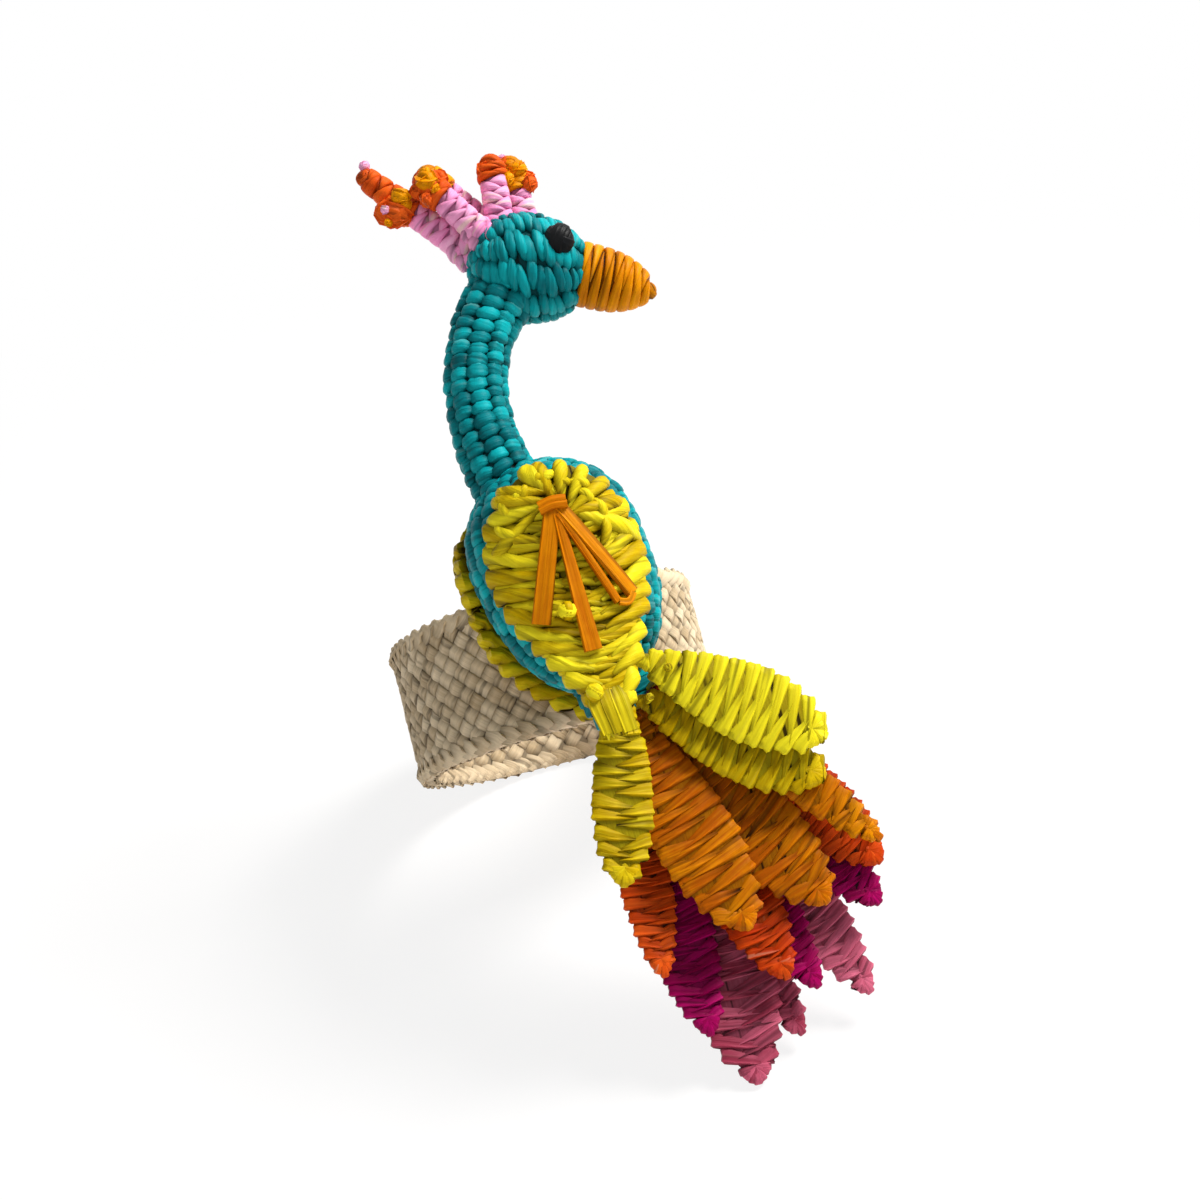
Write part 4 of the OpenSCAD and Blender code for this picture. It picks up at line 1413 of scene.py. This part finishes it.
    def build(self, shop: Workshop) -> None:
        """Builds both wings and what is sewn on the near one."""
        ribbon, cord = shop.forms[FormKind.RIBBON], shop.forms[FormKind.CORD]
        loop, strap = shop.forms[FormKind.LOOP], shop.forms[FormKind.STRAP]
        near = RoundSheet(self.radius, self.top, self.middle, 0.0, self.near_swing, -1)
        far = RoundSheet(self.radius, self.top, self.middle, self.far_turn, self.far_swing, 1)
        for name, sheet, length, lump, tone, seed in (
            ("near_wing", near, self.length, 0.35, (0.05, 0.85), 71),
            ("far_wing", far, self.far_length, 0.9, (0.0, 0.5), 72),
        ):
            cords, knuckles = self._rows(sheet, length, lump)
            work = StrawWork(f"{name}_rows", LIME, seed, tone, 1.0)
            # The plate under the cords carries painted shade where it shows between them.
            cords.base(work, 0.85)
            cords.wrap(work, cord)
            knuckles.wrap(work, cord)
            self._fan(work, cord, cords)
            if sheet is near:
                self._fray(work, strap, cords)
            shop.hand_in(work, [name])
        bands = StrawWork("near_wing_strap_work", AMBER, 73, (0.3, 0.6))
        start = np.array(self.strap_top)
        for plan in self.straps:
            run = np.array(plan.end) - start - plan.step
            route = start + plan.step + np.linspace(0, 1, 9)[:, None] * run
            points, ups = self._on(near, route, self.strap_lift)
            bands.lay(strap, points, ups, np.linspace(*plan.widths, 9), self.strap_thick)
        for rise in (0.1, 0.95):
            ends = start + np.array([[-1.7, rise - 0.3], [0.0, 0.1 + rise], [1.8, rise - 0.1]])
            points, ups = self._on(near, ends, self.wrap_lift)
            bands.lay(ribbon, points, ups, 1.1, 0.8)
        fold = np.array([self.straps[2].end, self.strap_turn, self.straps[3].end])
        points, ups = self._on(near, fold, self.turn_lift)
        bands.lay(ribbon, points, ups, 1.0, 0.6)
        shop.hand_in(bands, ["near_wing_straps"])
        ties = StrawWork("near_wing_ties", LIME, 74)
        for place in self.knots:
            points, _ = self._on(near, np.array([place]), self.knot_lift)
            knot(ties, loop, points[0], self.knot_size, 5)
        shop.hand_in(ties, ["near_wing_knots"])


@dataclass(frozen=True)
class Feather:
    """One tail feather: its stitch, its layer from the front, its angle, length, half width and root."""

    stitch: int
    layer: int
    angle: float
    length: float
    half_width: float
    root: float = 0.8
    bias: float = 0.0
    tone: tuple[float, float] = (0.1, 0.7)
    reach: float = 0.78


@dataclass(frozen=True)
class FeatherRow:
    """One row of the fan: its straw, its wraps' pitch, their widths from point to edge, and its feathers."""

    straw: StrawFinish
    pitch: float
    taper: tuple[float, ...]
    feathers: tuple[Feather, ...]


@dataclass
class Tail:
    """Fan of wound feathers that hang on three root stitches from a teal tongue."""

    layer_front: float = -10.2
    layer_pitch: float = 2.0
    feather_thick: float = 1.7
    pin_steps: tuple[tuple[float, float], ...] = ((-1.6, -3.2), (2.4, -4.2), (6.1, -0.7))
    skew: float = 1.4
    plate: float = 0.52
    straw: float = 0.72
    stop: float = 0.94
    # plate_tuck and crevice set painted shade: on the plate between wraps, and on each straw's underside.
    plate_tuck: float = 0.7
    cap_straw: float = 0.5
    crevice: float = 0.7
    first_seed: int = 101
    thread_depth: tuple[float, float] = (-11.6, 8.9)
    thread_size: tuple[float, float] = (1.1, 0.7)
    front_knot: tuple[float, float] = (-11.4, 0.6)
    back_knot: tuple[float, float] = (8.8, 1.15)
    tongue_top: tuple[float, float] = (2.2, -7.0)
    tongue_depth: float = 6.7
    tongue_angle: float = math.radians(9)
    tongue_length: float = 22.5
    tongue_half_width: float = 6.2
    cover_bodies: tuple[str, ...] = ("left_cover", "right_cover", "lower_cover")
    stand_pin: int = 2
    stand_layer: int = 6
    stand_angle: float = -0.8
    full: tuple[float, float] = (0.5, 0.6)
    open_wraps: tuple[float, ...] = (0.16, 0.42, 0.72, 1.0)
    close_wraps: tuple[float, ...] = (0.2, 0.5, 0.82, 1.02)

    def pin(self, number: int) -> Array:
        """Returns a root stitch's side and height."""
        end = np.array([BODY_DOWN * math.sin(BODY_TILT), -BODY_DOWN * math.cos(BODY_TILT)])
        return end + self.pin_steps[number]

    def depth(self, layer: int) -> float:
        """Returns the depth of a layer's middle."""
        return self.layer_front + layer * self.layer_pitch

    def rows(self, stance: Stance) -> dict[str, FeatherRow]:
        """Returns the rows of the fan from the front, the standing feather as long as the floor makes it."""
        back = self.depth(self.stand_layer) + self.feather_thick / 2
        drop = self.pin(self.stand_pin)[1] - stance.floor_height(back)
        stand = drop / math.cos(math.radians(self.stand_angle))
        return {
            # Painted light and shade on the cover feathers: the first's and third's low tones paint shade,
            # the second's high tone paints light.
            "cover": FeatherRow(LIME, 2.4, self.open_wraps, (
                Feather(0, 0, -14, 26.3, 4.2, 3, 0.1, (0.0, 0.35), 0.34),
                Feather(2, 0, 53, 25, 5.6, 5, -0.35, (0.8, 1.0)),
                Feather(1, 1, 52.5, 28, 5.5, 2, -0.45, (0.0, 0.3)))),
            "amber": FeatherRow(AMBER, 2.9, self.open_wraps, (
                Feather(0, 2, 15.6, 37, 5.8, bias=-0.3, tone=(0.0, 0.38)),
                Feather(1, 3, 28.5, 38.8, 6, bias=0.25, tone=(0.0, 0.3)),
                Feather(2, 2, 38.2, 39.5, 3.2, bias=-0.2, tone=(0.1, 0.6)))),
            "orange": FeatherRow(ORANGE, 2.0, self.close_wraps, (
                Feather(0, 4, -4.4, 39, 3.7, bias=0.3, tone=(0.25, 0.75)),
                Feather(1, 4, 13.5, 44, 5.2, bias=-0.2, tone=(0.0, 0.2)),
                Feather(2, 4, 36.2, 42.2, 5.8, bias=-0.3, tone=(0.0, 0.4)))),
            "magenta": FeatherRow(MAGENTA, 2.0, self.close_wraps, (
                Feather(0, 5, 2, 48.5, 5, bias=0.2),
                Feather(1, 5, 18, 47.6, 4.6),
                Feather(2, 5, 30.5, 46.2, 5.4, bias=-0.3))),
            "pink": FeatherRow(ROSE, 2.4, self.close_wraps, (
                Feather(self.stand_pin, self.stand_layer, self.stand_angle, stand, 7.4, bias=0.25,
                        tone=(0.0, 0.5)),
                Feather(0, 7, 16.4, 54.5, 4.8, tone=(0.0, 0.5)),
                Feather(2, 7, 20.5, 55.4, 5, bias=-0.2, tone=(0.4, 1.0)))),
        }

    def _feather(self, shop: Workshop, work: StrawWork, row: FeatherRow, plan: Feather) -> None:
        """Winds one feather."""
        angle = math.radians(plan.angle)
        root = self.pin(plan.stitch) + plan.root * np.array([-math.sin(angle), math.cos(angle)])
        sheet = FlatSheet(root, self.depth(plan.layer), angle)
        length = plan.length + plan.root
        wraps = round(length / row.pitch)
        leaf = WoundLeaf(
            sheet, length, plan.half_width, self.skew, self.full, wraps, self.plate, self.straw,
            stop=self.stop, reach=plan.reach, bias=plan.bias, taper=row.taper,
        )
        leaf.base(work, self.plate_tuck)
        leaf.wrap(work, shop.forms[FormKind.WRAP])
        leaf.cap(work, shop.forms[FormKind.RIBBON], self.cap_straw)

    def build(self, shop: Workshop) -> None:
        """Builds the tongue, the root stitches and every feather."""
        ribbon, loop = shop.forms[FormKind.RIBBON], shop.forms[FormKind.LOOP]
        tongue = StrawWork("tail_tongue_winding", TEAL, 81)
        sheet = FlatSheet(self.tongue_top, self.tongue_depth, self.tongue_angle)
        size = (self.tongue_length, self.tongue_half_width)
        leaf = WoundLeaf(sheet, *size, 0.8, (0.3, 0.3), 11, 1.5, 0.6, stop=0.965)
        leaf.base(tongue)
        leaf.wrap(tongue, ribbon)
        shop.hand_in(tongue, ["tail_tongue"])
        for number, name in enumerate(("left", "mid", "right")):
            x, z = self.pin(number)
            thread = StrawWork(f"tail_stitch_{name}_thread", LIME, 82 + number)
            route = np.array([[x, y, z] for y in np.linspace(*self.thread_depth, 9)])
            for turn in (0.0, math.pi / 2):
                ups = np.tile([math.cos(turn), 0.0, math.sin(turn)], (9, 1))
                thread.lay(ribbon, route, ups, *self.thread_size)
            # The front knots carry painted shade.
            for (y, size), flat, tuck in ((self.front_knot, 0.3, 0.4), (self.back_knot, 0.5, 0.0)):
                knot(thread, loop, (x, y, z), size, 4, flat, tuck)
            shop.hand_in(thread, [f"tail_stitch_{name}"])
        bodies = {f"cover_feather_{i}": body for i, body in enumerate(self.cover_bodies, 1)}
        seed = self.first_seed
        for kind, row in self.rows(shop.stance).items():
            for number, plan in enumerate(row.feathers, 1):
                name = f"{kind}_feather_{number}"
                work = StrawWork(f"{name}_winding", row.straw, seed, plan.tone, self.crevice)
                self._feather(shop, work, row, plan)
                shop.hand_in(work, [name], bodies.get(name, ROOT_BODY))
                seed += 1


@dataclass(frozen=True)
class Lamp:
    """Soft square lamp: its name, its place and size in metres, its watts and its colour."""

    name: str
    place: tuple[float, float, float]
    size: float
    watts: float
    colour: tuple[float, float, float]


@dataclass
class Studio:
    """Camera at the photograph's viewing angle, white floor and soft light."""

    azimuth: float = math.radians(-12)
    elevation: float = math.radians(29)
    roll: float = math.radians(-7.4)
    frame_px: float = 1200.0
    focal_px: float = 1500.0
    sensor_mm: float = 36.0
    anchor: tuple[float, float, float] = (-1.0, 0.0, -6.0)
    anchor_px: tuple[float, float] = (560.0, 590.0)
    anchor_depth: float = 225.0
    floor_size: float = 6.0
    floor_glow: float = 0.85
    floor_fade: tuple[float, float] = (0.14, 0.4)
    floor_colour: tuple[int, int, int] = (250, 248, 247)
    world_light: float = 0.22
    lamps: tuple[Lamp, ...] = (
        Lamp("key", (0.5, 0.05, 0.75), 0.32, 12.0, (1.0, 0.98, 0.95)),
        Lamp("fill", (-0.5, -0.8, 0.6), 0.9, 2.2, (0.97, 0.98, 1.0)),
    )
    lamp_target: tuple[float, float, float] = (0.0, 0.0, 0.05)

    def camera(self, stance: Stance) -> None:
        """Places the camera so that the anchor shows at its pixel."""
        a, e, r = self.azimuth, self.elevation, self.roll
        back = np.array([math.sin(a) * math.cos(e), -math.cos(a) * math.cos(e), math.sin(e)])
        level = unit(np.cross([0, 0, 1], back))
        upright = np.cross(back, level)
        right = math.cos(r) * level + math.sin(r) * upright
        up = math.cos(r) * upright - math.sin(r) * level
        half = self.frame_px / 2
        dx = (self.anchor_px[0] - half) / self.focal_px
        dy = (half - self.anchor_px[1]) / self.focal_px
        anchor = stance.rest(np.array([self.anchor]))[0]
        place = (anchor - self.anchor_depth * (right * dx + up * dy - back)) * MM
        data = bpy.data.cameras.new("camera")
        data.sensor_width = self.sensor_mm
        data.lens = self.sensor_mm * self.focal_px / self.frame_px
        data.clip_start = 0.01
        lens = bpy.data.objects.new("camera", data)
        turn = Matrix((right, up, back)).transposed().to_4x4()
        lens.matrix_world = Matrix.Translation(Vector(place)) @ turn
        bpy.context.scene.collection.objects.link(lens)
        bpy.context.scene.camera = lens

    def floor(self) -> None:
        """Lays a white floor that keeps the shadow and runs out to plain white."""
        bpy.ops.object.select_all(action="DESELECT")
        bpy.ops.mesh.primitive_plane_add(size=self.floor_size)
        plane = bpy.context.object
        plane.name = "floor"
        shop = ShaderShop(bpy.data.materials.new("floor_white"))
        place = shop.add("ShaderNodeTexCoord", None, None, "Object")
        length = shop.add("ShaderNodeVectorMath", {"operation": "LENGTH"}, {0: place}, "Value")
        far = length.ramp(*self.floor_fade) * (1 - self.floor_glow) + self.floor_glow
        matt = shop.add("ShaderNodeBsdfDiffuse", None, {"Color": linear(self.floor_colour)})
        glow = shop.add("ShaderNodeEmission", None, {"Color": (1, 1, 1, 1), "Strength": 1.0})
        mixed = shop.add("ShaderNodeMixShader", None, {0: far * shop.looked_at(), 1: matt, 2: glow})
        plane.data.materials.append(shop.close(mixed))

    def _hang(self, lamp: Lamp) -> None:
        """Adds a lamp that faces the bird."""
        data = bpy.data.lights.new(lamp.name, "AREA")
        data.size = lamp.size
        data.energy = lamp.watts
        data.color = lamp.colour
        light = bpy.data.objects.new(lamp.name, data)
        light.location = lamp.place
        way = Vector(self.lamp_target) - Vector(lamp.place)
        light.rotation_euler = way.to_track_quat("-Z", "Y").to_euler()
        bpy.context.scene.collection.objects.link(light)

    def light(self) -> None:
        """Adds the lamps and a white world."""
        for lamp in self.lamps:
            self._hang(lamp)
        shop = ShaderShop(bpy.data.worlds.new("white"))
        soft = shop.add("ShaderNodeBackground", None, {"Color": (1, 1, 1, 1), "Strength": self.world_light})
        plain = shop.add("ShaderNodeBackground", None, {"Color": (1, 1, 1, 1), "Strength": 1.0})
        mixed = shop.add("ShaderNodeMixShader", None, {0: shop.looked_at(), 1: soft, 2: plain})
        bpy.context.scene.world = shop.close(mixed)

    def build(self, stance: Stance) -> None:
        """Sets up the whole studio."""
        self.camera(stance)
        self.floor()
        self.light()
        bpy.context.scene.view_settings.view_transform = "Standard"


def dress_cores(materials: dict[str, bpy.types.Material]) -> None:
    """Gives the stuffing inside the bird its straw finish."""
    for name in ("body_core", "neck_core", "head_core", "beak_core"):
        core = frame["nodes"][name]
        core.data.materials.clear()
        core.data.materials.append(materials[STUFFING.slot])


def main() -> None:
    """Builds the studio and every sub-assembly in order."""
    logging.basicConfig(level=logging.INFO, format="%(name)s: %(message)s")
    stance = Stance.from_record(frame["record"])
    Studio().build(stance)
    shop = Workshop(stance, FormBench(), {finish.slot: finish.dress() for finish in FINISHES})
    for assembly in (NapkinRing(), Bird(), Crest(), Wings(), Tail()):
        assembly.build(shop)
    dress_cores(shop.materials)
    LOG.info("%d pieces", len(shop.pieces))


if __name__ == "__main__":
    main()
